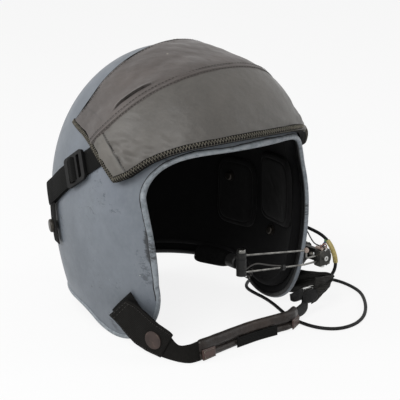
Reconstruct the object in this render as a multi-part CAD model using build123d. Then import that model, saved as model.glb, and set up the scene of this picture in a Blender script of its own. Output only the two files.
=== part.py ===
from build123d import *
import math
import os

# Frame: +Z up, the wearer faces -Y, the wearer's left is +X, z = 0 is the table. Millimetres.
# The sizes below are measured from the shell's widest place. The last lines move every piece by
# origin_shift along Y, which puts the origin under the middle of the helmet.

# Shell form: every height has a superelliptic outline that closes to a point at the crown
half_width = 118.0
front_reach = 137.3
rear_reach = 146.2
equator_height = 124.8
crown_rise = 156.4
side_drop = 225.5
front_squareness = 2.5
rear_squareness = 2.18
below_table = 6.0
origin_shift = 7.5
ring_points = 28
crown_angles = (18, 34, 49, 62, 73, 82)
side_level_shares = (0.27, 0.51, 0.75, 1.0)

# Shell wall, edge and lining
shell_wall = 3.0
brow_height = 196.0
corner_ahead = 81.9
edge_corner_radius = 38.6
edge_lean = 2.5
edge_bow = 4.9
lobe_radius = 65.1
lobe_ahead = 27.7
lobe_exit_angle = 47.4
nape_blend_radius = 26.0
trim_width = 9.0
trim_wall = 1.3
trim_tip = 1.5
seat_gap = 0.1
liner_wall = 9.0
liner_setback = 13.0
lining_gap = 0.3
cut_margin = 60.0

# Comfort pads inside
ear_ahead = -25.0
ear_height = 105.0
ear_pad_long = 58.0
ear_pad_tall = 76.0
ear_pad_thick = 5.0
phone_radius = 22.0
phone_thick = 5.0
phone_depth = 1.7
phone_edge = 1.2
temple_front = 74.0
temple_rear = 12.0
temple_low = 84.0
temple_high = 160.0
temple_thick = 6.0
pad_corner = 12.0
small_pad_corner = 8.0
crown_pad_low = 188.0
crown_pad_thick = 9.0
crown_pad_half = 62.0
neck_front = -30.0
neck_rear = -76.0
neck_low = 16.0
neck_high = 38.0
neck_thick = 10.0
nape_pad_half = 58.0
nape_pad_high = 52.0
nape_pad_thick = 17.0
snap_radius = 4.6
snap_rise = 3.2
snap_edge = 1.5
snap_flange = 6.0
snap_flange_rise = 1.0
upper_snap_ahead = -37.0
upper_snap_height = 122.0
lower_snap_ahead = 33.0
lower_snap_height = 73.0

# Visor and its leather cover, as distances out from the shell
visor_in = 4.6
visor_out = 7.0
roll_width = 7.0
crown_cover_in = 0.5
crown_cover_out = 4.5
front_cover_in = 7.4
front_cover_out = 9.9
welt_out = 10.8
welt_width = 7.0
hem_width = 5.5
hem_out = 0.5
cover_rear_foot = (39.0, 209.0)
cover_rear_top = (-3.0, 293.0)
cover_side_corner = (-53.0, 167.0)
cover_front_low = (-84.0, 187.5)
cover_front_mid = (-106.0, 199.0)
cover_front_end = (-150.0, 214.0)
cover_corner_radius = 7.0
seam_foot = (-20.0, 211.0)
seam_mid = (-51.0, 251.0)
seam_top = (-84.0, 292.0)
side_seam_foot = (-69.0, 174.0)
seam_shift_shares = ((-1.0, 0.0), (-1.0, 0.0), (-2.0, -0.5), (-1.0, 1.2))
front_area_drop = 20.0
front_area_reach = 30.0

# Straps and buckles at the sides of the cover
strap_width = 25.0
strap_in = 0.4
strap_out = 2.2
strap_root = (-21.0, 187.5)
strap_end = (74.0, 126.0)
rear_tab_width = 20.0
tab_top_back = 9.4
tab_top_rise = 8.3
rear_tab_foot = (60.0, 80.0)
rear_tab_in = 2.5
rear_tab_out = 4.1
stud_place = (65.0, 97.0)
stud_hole = 4.6
stud_neck = 4.2
stud_cap_radius = 7.0
stud_cap_rise = 3.4
stud_cap_edge = 1.7
buckle_place = (9.0, 168.0)
buckle_long = 33.0
buckle_wide = 31.0
buckle_thick = 3.2
buckle_rise = 2.6
buckle_slot = 5.0
buckle_slot_corner = 1.6
buckle_slots = 3
buckle_bar = 3.4
buckle_corner = 4.0

# Chin strap, laid round in front of the opening
chin_tall = 20.0
chin_width = 38.0
chin_thick = 3.0
chin_pad_thick = 8.0
webbing_thick = 1.8
webbing_outline = ((-66.0, 60.5), (-36.0, 34.0), (-56.0, 10.0), (-92.0, 6.0), (-99.0, 28.0))
chin_tab_shares = (
    (-0.923, -0.463, 1.358, -0.945, -0.285, 0.800),
    (-0.899, -0.560, 1.290, -0.927, -0.372, 0.620),
    (-0.848, -0.690, 1.010, -0.884, -0.520, 0.240),
    (-0.806, -0.790, 0.760, -0.830, -0.700, 0.070),
    (-0.765, -0.868, 0.480, -0.770, -0.845, 0.014),
    (-0.700, -0.915, 0.480, -0.705, -0.935, 0.014),
    (-0.600, -0.915, 0.500, -0.600, -0.945, 0.014),
)
chin_pad_shares = (
    (-0.590, -0.914, -0.595, -0.944),
    (-0.450, -0.905, -0.450, -0.915),
    (-0.200, -0.878, -0.200, -0.882),
    (0.050, -0.862, 0.050, -0.866),
    (0.250, -0.868, 0.250, -0.872),
    (0.420, -0.868, 0.430, -0.872),
    (0.520, -0.820, 0.535, -0.824),
)
chin_snap_share = 0.62
chin_snap_radius = 9.2
chin_snap_rise = 2.4
chin_post_radius = 3.4
pad_end_thick = 3.0
pad_end_inset = 1.2
pad_end_long = 14.0
pad_end_gap = 0.8
pad_band_thick = 2.0
pad_band_tall = 11.0

# Strap, ring and loop at the wearer's left
ring_wire = 2.4
ring_wide = 20.0
ring_tall = 14.0
ring_corner = 6.0
ring_centre = (92.0, -100.2, 24.0)
riser_thick = 2.6
riser_stations = (
    ((65.4, -111.4, 16.5), (66.6, -111.8, 5.4)),
    ((73.0, -108.6, 17.0), (79.0, -108.4, 5.4)),
    ((79.0, -106.0, 18.0), (87.0, -105.6, 9.0)),
    ((81.0, -103.4, 22.0), (89.6, -103.4, 17.0)),
)
loop_thick = 3.0
loop_stations = (
    ((106.0, -66.0, 38.0), (99.5, -60.0, 12.0)),
    ((110.0, -76.0, 38.5), (106.0, -74.0, 14.0)),
    ((116.0, -88.0, 39.0), (113.0, -87.0, 20.0)),
    ((121.5, -96.0, 39.0), (120.5, -95.5, 27.0)),
    ((123.5, -100.5, 38.5), (122.5, -100.5, 29.0)),
    ((120.5, -104.6, 38.5), (119.5, -104.6, 27.0)),
    ((110.0, -105.2, 39.5), (107.0, -105.4, 19.0)),
    ((99.5, -103.6, 40.0), (94.6, -104.0, 12.0)),
)

# Boom microphone
pivot_ahead = 70.0
pivot_height = 58.0
boss_radius = 12.6
boss_face = 108.0
boss_root = 88.0
arm_gap = 0.3
arm_thick = 5.0
arm_tall = 13.0
arm_rise = 1.2
arm_slot = 4.6
arm_slot_ends = (-95.5, -84.0)
eye_radius = 10.0
pin_radius = 3.0
pin_gap = 0.1
pin_tail = 1.4
nut_radius = 9.0
nut_thick = 6.5
nut_lobes = 8
nut_scallop = 2.0
block_ahead = 104.0
block_in = 101.0
block_out = 115.0
block_deep = 9.0
block_low = 52.5
block_high = 69.0
block_edge = 1.0
wire_radius = 1.0
wire_gap = 0.1
wire_bend = 3.0
wire_end = 120.0
low_wire_height = 57.5
high_wire_height = 63.7
low_wire_turn = 84.0
high_wire_turn = 86.0
high_wire_step = 72.4
knob_radius = 2.8
clamp_screw_radius = 2.6
clamp_screw_rise = 2.2
clamp_socket = 1.3
mic_side = -5.0
mic_ahead = 110.0
mic_low = 66.5
mic_foot_tall = 6.0
mic_head_low = 84.0
mic_head_tall = 6.0
mic_block_radius = 5.0
mic_rod_radius = 3.0
mic_cap_radius = 4.3
mic_cap_tall = 3.4
mic_cap_edge = 1.1
collar_radius = 5.2
collar_gap = 0.3
capsule_neck = 3.6
capsule_radius = 6.6
capsule_long = 12.0
capsule_edge = 1.2
grille_wall = 1.2
grille_thick = 1.2
grille_hole = 0.8
grille_ring = 3.4
grille_holes = 6
clip_side = 52.0
clip_radius = 3.0
clip_long = 4.0
mic_lead_radius = 0.8
mic_lead_route = [
    (0.4, -110.0, 71.3),
    (8.0, -109.8, 74.6),
    (17.0, -109.2, 74.2),
    (27.0, -108.2, 70.6),
    (38.0, -107.2, 66.8),
    (50.0, -106.2, 63.9),
]

# Communication cord and its fittings
cord_radius = 1.8
cord_bend_share = 0.45
gland_radius = 5.2
gland_tip_radius = 3.0
gland_length = 17.0
gland_base_long = 24.0
gland_base_tall = 16.0
gland_base_rise = 5.0
gland_corner = 4.0
sleeve_radius = 2.6
sleeve_gap = 0.05
sleeve_from = 3
sleeve_to = 5
plug_radius = 7.0
plug_long = 30.0
plug_tip_radius = 2.2
plug_neck_radius = 4.4
plug_neck_long = 12.0
plug_groove = 1.6
plug_groove_deep = 0.8
plug_grooves = 4
plug_pin_radius = 3.57
plug_pin_long = 24.0
plug_edge = 1.2
cord_route = [
    (121.9, -26.0, 81.0),
    (127.5, -42.0, 79.5),
    (133.0, -60.0, 76.0),
    (136.0, -77.0, 71.5),
    (136.6, -87.5, 63.0),
    (137.0, -93.5, 52.0),
    (137.4, -94.0, 40.5),
    (137.8, -87.0, 29.0),
    (138.2, -76.0, 18.5),
    (138.6, -62.5, 9.0),
    (139.2, -48.5, 3.6),
    (143.4, -34.5, 2.0),
    (154.4, -25.5, 2.0),
    (168.4, -23.5, 2.0),
    (180.4, -30.5, 2.0),
    (186.6, -43.5, 2.0),
    (187.0, -64.0, 2.0),
    (181.0, -88.0, 2.0),
    (166.0, -110.0, 2.0),
    (147.0, -131.0, 2.0),
    (127.0, -147.0, 2.0),
    (105.0, -156.0, 2.0),
    (84.0, -154.0, 2.0),
    (71.0, -139.0, 2.0),
    (67.0, -116.0, 2.0),
    (71.0, -90.0, 2.0),
    (81.0, -62.0, 2.0),
    (87.0, -38.0, 2.0),
    (88.5, -18.0, 2.0),
    (92.0, -1.0, 2.0),
    (102.0, 11.0, 2.0),
    (116.0, 19.0, 2.6),
    (130.0, 27.0, 5.0),
    (142.0, 36.0, 7.4),
    (151.0, 45.0, 7.4),
]

# Lead of the microphone, from the block on the boom to the shell
lead_radius = 0.7
lug_radius = 1.6
lug_long = 9.0
lug_sides = (105.5, 111.0)
lead_gland_radius = 2.4
lead_gland_long = 8.0
lead_route = [
    (111.0, -98.0, 70.6),
    (111.0, -91.5, 70.6),
    (114.6, -83.0, 70.8),
    (118.6, -74.0, 73.2),
    (121.6, -66.0, 77.4),
    (123.6, -58.0, 82.2),
    (123.6, -51.6, 86.4),
    (121.4, -47.6, 89.4),
    (117.0, -45.6, 90.6),
]

top_height = equator_height + crown_rise
far_side = half_width + cut_margin
far_top = top_height + cut_margin
liner_out = -(shell_wall + lining_gap)
liner_in = liner_out - liner_wall
pad_out = liner_in - lining_gap
neck_out = -(shell_wall + trim_wall + lining_gap)

parts = {}


def outline(height, outward):
    """Closed curve round the form at one height, the given distance out from the shell."""
    rise = crown_rise if height > equator_height else side_drop
    slope = (height - equator_height) / (rise + outward)
    shrink = math.sqrt(1 - slope * slope)
    points = []
    for step in range(ring_points):
        turn = math.pi / 2 + 2 * math.pi * step / ring_points
        across, along = math.cos(turn), math.sin(turn)
        power = 2 / (front_squareness if along < 0 else rear_squareness)
        reach = front_reach if along < 0 else rear_reach
        x = (half_width + outward) * shrink * math.copysign(abs(across) ** power, across)
        y = (reach + outward) * shrink * math.copysign(abs(along) ** power, along)
        points.append((x, y, height))
    return Wire([Spline(*points, periodic=True)])


forms = {}


def form(outward):
    """The whole rounded form, grown or shrunk by one distance."""
    if outward not in forms:
        low = -below_table
        heights = [low] + [low + (equator_height - low) * share for share in side_level_shares]
        heights += [
            equator_height + (crown_rise + outward) * math.sin(math.radians(angle))
            for angle in crown_angles
        ]
        rings = [outline(height, outward) for height in heights]
        tip = Vertex(0, 0, equator_height + crown_rise + outward)
        forms[outward] = Solid.make_loft(rings + [tip], False)
    return forms[outward]


def skin(inner, outer, area):
    """The part of a block that lies between two distances out from the shell."""
    return (area & form(outer)) - form(inner)


def surface_x(y, z, outward=0.0):
    """Half width of the form at one place seen from the side."""
    rise = crown_rise if z > equator_height else side_drop
    slope = (z - equator_height) / (rise + outward)
    shrink = math.sqrt(1 - slope * slope)
    power = front_squareness if y < 0 else rear_squareness
    reach = (front_reach if y < 0 else rear_reach) + outward
    return (half_width + outward) * shrink * (1 - (abs(y) / (reach * shrink)) ** power) ** (1 / power)


def side_normal(y, z):
    """Outward direction of the left side of the form at one place seen from the side."""
    step = shell_wall
    by_y = (surface_x(y + step, z) - surface_x(y - step, z)) / (2 * step)
    by_z = (surface_x(y, z + step) - surface_x(y, z - step)) / (2 * step)
    return Vector(1, -by_y, -by_z).normalized()


def prism(face):
    """A side view outline carried right across the helmet."""
    return extrude(Plane.YZ * face, far_side, both=True)


def left_prism(face):
    """A side view outline carried over the wearer's left half only."""
    return extrude(Plane.YZ * face, far_side)


def edge_face(inset):
    """Side view of what stays of the form: brow, front edge, rounded ear lobe and nape."""
    lean = math.radians(edge_lean)
    leave = math.radians(lobe_exit_angle)
    middle_y = -corner_ahead - edge_corner_radius * (math.tan(lean) + 1 / math.cos(lean))
    middle_z = brow_height - edge_corner_radius

    def on_corner(turn):
        across, up = math.cos(turn) * edge_corner_radius, math.sin(turn) * edge_corner_radius
        return (middle_y + across, middle_z + up)

    corner_top = (middle_y, brow_height)
    corner_mid = on_corner((math.pi / 2 - lean) / 2)
    corner_low = on_corner(-lean)
    foot = (-lobe_ahead - lobe_radius * math.cos(lean), lobe_radius * (1 + math.sin(lean)))
    bowed = ((corner_low[0] + foot[0]) / 2 - edge_bow, (corner_low[1] + foot[1]) / 2)
    bottom = (-lobe_ahead, 0)
    leaving = (-lobe_ahead + lobe_radius * math.sin(leave), lobe_radius * (1 - math.cos(leave)))
    far_front = (-front_reach - cut_margin, brow_height)
    far_rear = (rear_reach + cut_margin, leaving[1])
    edges = [
        Line(far_front, corner_top),
        ThreePointArc(corner_top, corner_mid, corner_low),
        ThreePointArc(corner_low, bowed, foot),
        ThreePointArc(foot, bottom, leaving),
        Line(leaving, far_rear),
        Line(far_rear, (far_rear[0], far_top)),
        Line((far_rear[0], far_top), (far_front[0], far_top)),
        Line((far_front[0], far_top), far_front),
    ]
    face = make_face(edges)
    nook = face.vertices().sort_by_distance((leaving[0], leaving[1], 0))[0]
    face = fillet(nook, nape_blend_radius)
    return offset(face, -inset) if inset else face


def poly_face(*points):
    return make_face(Polyline(*points, close=True))


def rounded(low_y, high_y, low_z, high_z, radius):
    """Rounded rectangle in side view."""
    face = Rectangle(high_y - low_y, high_z - low_z)
    face = fillet(face.vertices(), radius)
    return Pos((low_y + high_y) / 2, (low_z + high_z) / 2) * face


def along_x(radius, length, y, z, x_start):
    """A round bar along X, from x_start outwards."""
    return Pos(x_start + length / 2, y, z) * Rot(0, 90, 0) * Cylinder(radius, length)


def save(name, shape):
    parts[name] = shape


def save_pair(name, shape):
    """A piece on the wearer's left and its mirror on the right."""
    save(name + "_left", shape)
    save(name + "_right", mirror(shape, about=Plane.YZ))


def save_both(name, *shapes):
    """Small fasteners of the wearer's left and their mirrors on the right, as one node."""
    mirrored = [mirror(shape, about=Plane.YZ) for shape in shapes]
    save(name, Compound([*shapes, *mirrored]))


def make_shell():
    save("outer_shell", skin(-shell_wall, 0.0, prism(edge_face(trim_tip))))
    rim = prism(edge_face(0) - edge_face(trim_width))
    slot = skin(-shell_wall - seat_gap, seat_gap, prism(edge_face(trim_tip - seat_gap)))
    save("edge_trim", skin(neck_out + lining_gap, trim_wall, rim) - slot)


def make_liner():
    """Impact liner with a recess for each earphone, and the earphones in their recesses."""
    seat = side_plane((-ear_ahead, ear_height), liner_in + phone_depth, (-ear_ahead, 0))
    recess_tall = phone_thick + lining_gap + phone_depth * 2
    recess_middle = phone_thick + lining_gap - recess_tall / 2
    recess = seat * Pos(0, 0, recess_middle) * Cylinder(phone_radius + lining_gap, recess_tall)
    liner = skin(liner_in, liner_out, prism(edge_face(liner_setback)))
    save("impact_liner", liner - recess - mirror(recess, about=Plane.YZ))
    phone = Cylinder(phone_radius, phone_thick)
    phone = chamfer(phone.faces().sort_by(Axis.Z)[0].edges(), phone_edge)
    save_pair("earphone", seat * Pos(0, 0, phone_thick / 2) * phone)


def make_pads():
    ear_area = left_prism(rounded(
        -ear_ahead - ear_pad_long / 2, -ear_ahead + ear_pad_long / 2,
        ear_height - ear_pad_tall / 2, ear_height + ear_pad_tall / 2, pad_corner,
    ))
    ear = skin(pad_out - ear_pad_thick, pad_out, ear_area)
    temple_area = left_prism(rounded(-temple_front, -temple_rear, temple_low, temple_high, pad_corner))
    temple_area &= prism(edge_face(liner_setback + lining_gap))
    temple = skin(pad_out - temple_thick, pad_out, temple_area)
    neck_area = left_prism(rounded(-neck_front, -neck_rear, neck_low, neck_high, small_pad_corner))
    neck_area -= prism(edge_face(liner_setback - lining_gap))
    neck = skin(neck_out - neck_thick, neck_out, neck_area)
    save_pair("ear_pad", ear)
    save_pair("temple_pad", temple)
    save_pair("neck_pad", neck)
    crown_area = Pos(0, 0, crown_pad_low + far_top / 2) * Box(2 * crown_pad_half, 2 * far_side, far_top)
    crown_area &= prism(edge_face(liner_setback * 2))
    save("crown_pad", skin(pad_out - crown_pad_thick, pad_out, crown_area))


def make_nape_pad():
    """Padded roll under the back of the head, which also carries the back of the helmet on a table."""
    face = Rectangle(2 * nape_pad_half, nape_pad_high)
    face = fillet(face.vertices(), small_pad_corner)
    block = extrude(Plane.XZ * Pos(0, nape_pad_high / 2) * face, -far_side)
    block -= prism(edge_face(liner_setback - lining_gap))
    save("nape_pad", skin(neck_out - nape_pad_thick, neck_out, block))


def snap_stud(y, z, outward):
    """A snap fastener's socket on the inner wall, pointing to the middle."""
    seat = side_plane((y, z), outward - lining_gap, (y, 0))
    flange = Pos(0, 0, -snap_flange_rise / 2) * Cylinder(snap_flange, snap_flange_rise)
    knob = Pos(0, 0, -snap_flange_rise - snap_rise / 2) * Cylinder(snap_radius, snap_rise)
    knob = fillet(knob.faces().sort_by(Axis.Z)[0].edges(), snap_edge)
    return seat * (flange + knob)


def make_snaps():
    upper = snap_stud(-upper_snap_ahead, upper_snap_height, pad_out - ear_pad_thick)
    lower = snap_stud(-lower_snap_ahead, lower_snap_height, liner_in)
    save_both("liner_snaps", upper, lower)


def cover_face(inset):
    """Side view of the whole leather cover."""
    points = [cover_rear_top, cover_rear_foot, cover_side_corner, cover_front_low, cover_front_mid,
              cover_front_end, (cover_front_end[0], far_top), (cover_rear_top[0], far_top)]
    face = poly_face(*points)
    corners = [face.vertices().sort_by_distance((point[0], point[1], 0))[0] for point in points[1:3]]
    face = fillet(corners, cover_corner_radius)
    return offset(face, -inset) if inset else face


def seam_path(shift):
    """Side view line of the seams, moved forward by a shift."""
    places = (seam_top, seam_mid, seam_foot, side_seam_foot)
    return [
        (place[0] + shift * share[0], place[1] + shift * share[1])
        for place, share in zip(places, seam_shift_shares)
    ]


def front_area(shift):
    """Side view of all that lies in front of the seams."""
    path = seam_path(shift)
    last_y, last_z = path[-1]
    far = -front_reach - cut_margin
    low = last_z - front_area_drop
    corner = (last_y - front_area_reach, low)
    return poly_face((far, far_top), (path[0][0], far_top), *path, corner, (far, low))


def make_cover():
    half = welt_width / 2
    inside = cover_face(hem_width)
    hem = cover_face(0) - inside
    front = skin(front_cover_in, front_cover_out, prism(inside & front_area(half)))
    crown = skin(crown_cover_in, crown_cover_out, prism(inside - front_area(-half)))
    welt = skin(crown_cover_in, welt_out, prism((inside & front_area(-half)) - front_area(half)))
    hem_in = trim_wall + lining_gap
    hem_front = skin(hem_in, front_cover_out + hem_out, prism(hem & front_area(0)))
    hem_rear = skin(hem_in, crown_cover_out + hem_out, prism(hem - front_area(0)))
    save("cover_front_panel", front)
    save("cover_crown_panel", crown)
    save("cover_seam_welt", welt)
    save("cover_edge_binding", hem_front + hem_rear)
    edge = hem_width + lining_gap
    lens_face = cover_face(edge) & front_area(half + lining_gap)
    roll_face = lens_face - (cover_face(edge + roll_width) & front_area(half + lining_gap + roll_width))
    save("visor_lens", skin(visor_in, visor_out, prism(lens_face)))
    save("visor_edge_roll", skin(lining_gap, visor_in - lining_gap, prism(roll_face)))


def band_face(start, end, width):
    """Straight band between two places in side view."""
    dy, dz = end[0] - start[0], end[1] - start[1]
    length = math.hypot(dy, dz)
    across = (-dz / length * width / 2, dy / length * width / 2)
    return poly_face(
        (start[0] + across[0], start[1] + across[1]),
        (end[0] + across[0], end[1] + across[1]),
        (end[0] - across[0], end[1] - across[1]),
        (start[0] - across[0], start[1] - across[1]),
    )


def side_plane(place, outward, towards):
    """Plane lying on the left side of the form, its x axis running towards another place."""
    y, z = place
    normal = side_normal(y, z)
    origin = Vector(surface_x(y, z), y, z) + normal * outward
    run = Vector(0, towards[0] - y, towards[1] - z)
    run = run - normal * run.dot(normal)
    return Plane(origin=origin, x_dir=run.normalized(), z_dir=normal)


def make_side_straps():
    strap_face = band_face(strap_root, strap_end, strap_width) - cover_face(-lining_gap)
    strap = skin(strap_in, strap_out, left_prism(strap_face))
    seat = side_plane(stud_place, 0, rear_tab_foot)
    hole = seat * Cylinder(stud_hole, far_side)
    tab_top = (strap_end[0] - tab_top_back, strap_end[1] + tab_top_rise)
    tab = skin(rear_tab_in, rear_tab_out, left_prism(band_face(tab_top, rear_tab_foot, rear_tab_width)))
    tab -= hole
    save_pair("cover_strap", strap - hole)
    save_pair("rear_tab", tab)
    neck_rise = rear_tab_out + lining_gap
    post = seat * Pos(0, 0, neck_rise / 2 + lining_gap) * Cylinder(stud_neck, neck_rise)
    cap_middle = neck_rise + lining_gap + stud_cap_rise / 2
    cap = seat * Pos(0, 0, cap_middle) * Cylinder(stud_cap_radius, stud_cap_rise)
    cap = fillet(cap.faces().sort_by(Axis.X)[-1].edges(), stud_cap_edge)
    save_both("strap_studs", post + cap)


def make_side_buckles():
    """Ladder buckle through which the strap of the cover is pulled tight."""
    frame = Rectangle(buckle_long, buckle_wide)
    frame = fillet(frame.vertices(), buckle_corner)
    pitch = buckle_slot + buckle_bar
    for number in range(buckle_slots):
        place = (number - (buckle_slots - 1) / 2) * pitch
        slot = Rectangle(buckle_slot, buckle_wide - 2 * buckle_bar)
        slot = fillet(slot.vertices(), buckle_slot_corner)
        frame -= Pos(place, 0) * slot
    seat = side_plane(buckle_place, buckle_rise, strap_end)
    buckle = seat * extrude(frame, buckle_thick)
    save_both("strap_buckles", buckle)


def strip(stations, thick, edge_radius=0.0, shift=0.0):
    """A band through stations, each an upper and a lower edge point, its edges square or rounded."""
    sections = []
    count = len(stations)
    for number, (upper, lower) in enumerate(stations):
        before = stations[max(number - 1, 0)]
        after = stations[min(number + 1, count - 1)]
        run = Vector(*after[0]) + Vector(*after[1]) - Vector(*before[0]) - Vector(*before[1])
        edge = (Vector(*upper) - Vector(*lower)).normalized()
        out = edge.cross(run).normalized()
        high = Vector(*upper) + out * shift - edge * edge_radius
        low = Vector(*lower) + out * shift + edge * edge_radius
        half = out * (thick / 2)
        if edge_radius:
            sections.append(Wire([
                Line(low - half, high - half),
                ThreePointArc(high - half, high + edge * edge_radius, high + half),
                Line(high + half, low + half),
                ThreePointArc(low + half, low - edge * edge_radius, low - half),
            ]))
        else:
            corners = [high + half, high - half, low - half, low + half]
            sections.append(Wire([Line(corners[i], corners[(i + 1) % 4]) for i in range(4)]))
    return Solid.make_loft(sections, True)


def chin_point(share_x, share_y, share_z):
    return (share_x * half_width, share_y * front_reach, share_z * chin_width)


def between(first, second, share):
    """Station part of the way from one station to the next."""
    return tuple(
        tuple(a + (b - a) * share for a, b in zip(start, end))
        for start, end in zip(first, second)
    )


def make_chin_strap():
    webbing_in = trim_wall + lining_gap
    webbing_out = webbing_in + webbing_thick
    webbing_face = poly_face(*webbing_outline) & edge_face(0)
    webbing = skin(webbing_in, webbing_out, left_prism(webbing_face))
    save("chin_webbing_right", mirror(webbing, about=Plane.YZ))
    boss_space = along_x(boss_radius + arm_gap, far_side, -pivot_ahead, pivot_height, 0)
    save("chin_webbing_left", webbing - boss_space)
    stations = [(chin_point(*row[:3]), chin_point(*row[3:])) for row in chin_tab_shares]
    tab = strip(stations, chin_thick) - form(webbing_out + lining_gap)
    tab = tab.solids().sort_by(SortBy.VOLUME)[-1]
    tab &= Pos(0, 0, (far_top + lining_gap) / 2) * Box(2 * far_side, 2 * far_side, far_top)
    seat = station_plane(between(stations[2], stations[3], chin_snap_share))
    tab -= seat * Cylinder(chin_post_radius + pin_gap, chin_tall)
    save("chin_tab_right", tab)
    cap_start = chin_thick / 2 + 2 * lining_gap
    cap_middle = cap_start + chin_snap_rise / 2
    cap = seat * Pos(0, 0, cap_middle) * Cylinder(chin_snap_radius, chin_snap_rise)
    post = seat * Pos(0, 0, cap_start / 2) * Cylinder(chin_post_radius, cap_start + chin_thick)
    save("chin_snap_cap", cap + post)


def station_plane(station):
    """Plane at the middle of a station of the right hand strap, facing away from the wearer."""
    upper, lower = Vector(*station[0]), Vector(*station[1])
    edge = (upper - lower).normalized()
    middle = (upper + lower) / 2
    run = Vector(*chin_point(*chin_tab_shares[3][:3])) - Vector(*chin_point(*chin_tab_shares[2][:3]))
    out = edge.cross(run).normalized() * -1
    return Plane(origin=middle, x_dir=edge, z_dir=out)


def make_chin_pad():
    rows = [
        ((row[0] * half_width, row[1] * front_reach, chin_tall),
         (row[2] * half_width, row[3] * front_reach, lining_gap))
        for row in chin_pad_shares
    ]
    pad = strip(rows[1:-1], chin_pad_thick, chin_pad_thick / 2)
    save("chin_pad", pad)
    inset = pad_end_inset / chin_tall
    clear = pad_end_gap / pad_end_long
    ends = []
    for outer, inner in ((rows[0], rows[1]), (rows[-1], rows[-2])):
        inner = between(outer, inner, 1 - clear)
        pair = [between(row, row[::-1], inset) for row in (outer, inner)]
        ends.append(strip(pair if outer is rows[0] else pair[::-1], pad_end_thick))
    save("pad_end_tabs", Compound([ends[0] - parts["chin_tab_right"], ends[1]]))
    share = pad_band_tall / chin_tall
    band = [(between([lower], [upper], share)[0], lower) for upper, lower in rows[2:5]]
    save("pad_band", strip(band, pad_band_thick, 0, -(chin_pad_thick + pad_band_thick) / 2 - lining_gap))


def make_left_loop():
    """Wire ring, the riser that holds it to the pad, and the folded strap from the shell."""
    path = fillet(Rectangle(ring_wide - ring_wire, ring_tall - ring_wire).vertices(), ring_corner / 2)
    rail = Plane(origin=ring_centre, x_dir=(1, 0, 0), z_dir=(0, -1, 0)) * path
    rail = rail.face().outer_wire()
    section = Plane(origin=rail @ 0, z_dir=rail % 0) * Circle(ring_wire / 2)
    save("ring_left", sweep(section, path=rail))
    save("riser_left", strip(riser_stations, riser_thick))
    webbing_out = trim_wall + lining_gap + webbing_thick
    save("chin_loop_left", strip(loop_stations, loop_thick) - form(webbing_out + lining_gap))


def make_boom_mount():
    boss = along_x(boss_radius, boss_face - boss_root, -pivot_ahead, pivot_height, boss_root)
    boss = chamfer(boss.faces().sort_by(Axis.X)[-1].edges(), block_edge)
    save("boom_boss", boss - form(lining_gap))
    eye_start = boss_face + arm_gap
    nut_start = eye_start + arm_thick + arm_gap
    pin_long = nut_start + nut_thick + pin_tail - boss_face
    pin = along_x(pin_radius, pin_long, -pivot_ahead, pivot_height, boss_face)
    save("boom_pin", chamfer(pin.faces().sort_by(Axis.X)[-1].edges(), block_edge / 2))
    bar_low = block_low + arm_rise
    block_back = -block_ahead + block_deep / 2
    middle = (block_back - pivot_ahead) / 2
    face = Pos(-pivot_ahead, pivot_height) * Circle(eye_radius)
    face += Pos(middle, bar_low + arm_tall / 2) * Rectangle(-pivot_ahead - block_back, arm_tall)
    slot_long = arm_slot_ends[1] - arm_slot_ends[0]
    slot_middle = (arm_slot_ends[0] + arm_slot_ends[1]) / 2
    face -= Pos(slot_middle, bar_low + arm_tall / 2) * SlotOverall(slot_long, arm_slot)
    face -= Pos(-pivot_ahead, pivot_height) * Circle(pin_radius + pin_gap)
    save("boom_arm", Pos(eye_start, 0, 0) * extrude(Plane.YZ * face, arm_thick))
    rim = Circle(nut_radius)
    for number in range(nut_lobes):
        turn = 2 * math.pi * number / nut_lobes
        reach = nut_radius + nut_scallop / 2
        rim -= Pos(reach * math.cos(turn), reach * math.sin(turn)) * Circle(nut_scallop)
    nut = extrude(rim, nut_thick)
    nut = chamfer(nut.faces().sort_by(Axis.Z)[-1].edges(), block_edge / 2)
    nut -= Cylinder(pin_radius + pin_gap, far_side)
    save("boom_nut", Pos(nut_start, -pivot_ahead, pivot_height) * Rot(0, 90, 0) * nut)


def tube(points, radius, bends):
    """A round wire or cord of straight runs joined by tangent arcs."""
    path = FilletPolyline(*points, radius=bends)
    return sweep(Plane(origin=path @ 0, z_dir=path % 0) * Circle(radius), path=path)


def wire_points():
    """Corners of the lower and the upper wire of the boom."""
    low_end = (mic_side, -mic_ahead, mic_low + mic_foot_tall / 2)
    high_end = (mic_side, -mic_ahead, mic_head_low + mic_head_tall / 2)
    low = [
        (wire_end, -block_ahead, low_wire_height),
        (low_wire_turn, -block_ahead, low_wire_height),
        low_end,
    ]
    high = [
        (wire_end, -block_ahead, high_wire_height),
        (high_wire_turn, -block_ahead, high_wire_height),
        (high_wire_turn, -block_ahead, high_wire_step),
        high_end,
    ]
    return low, high


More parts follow.
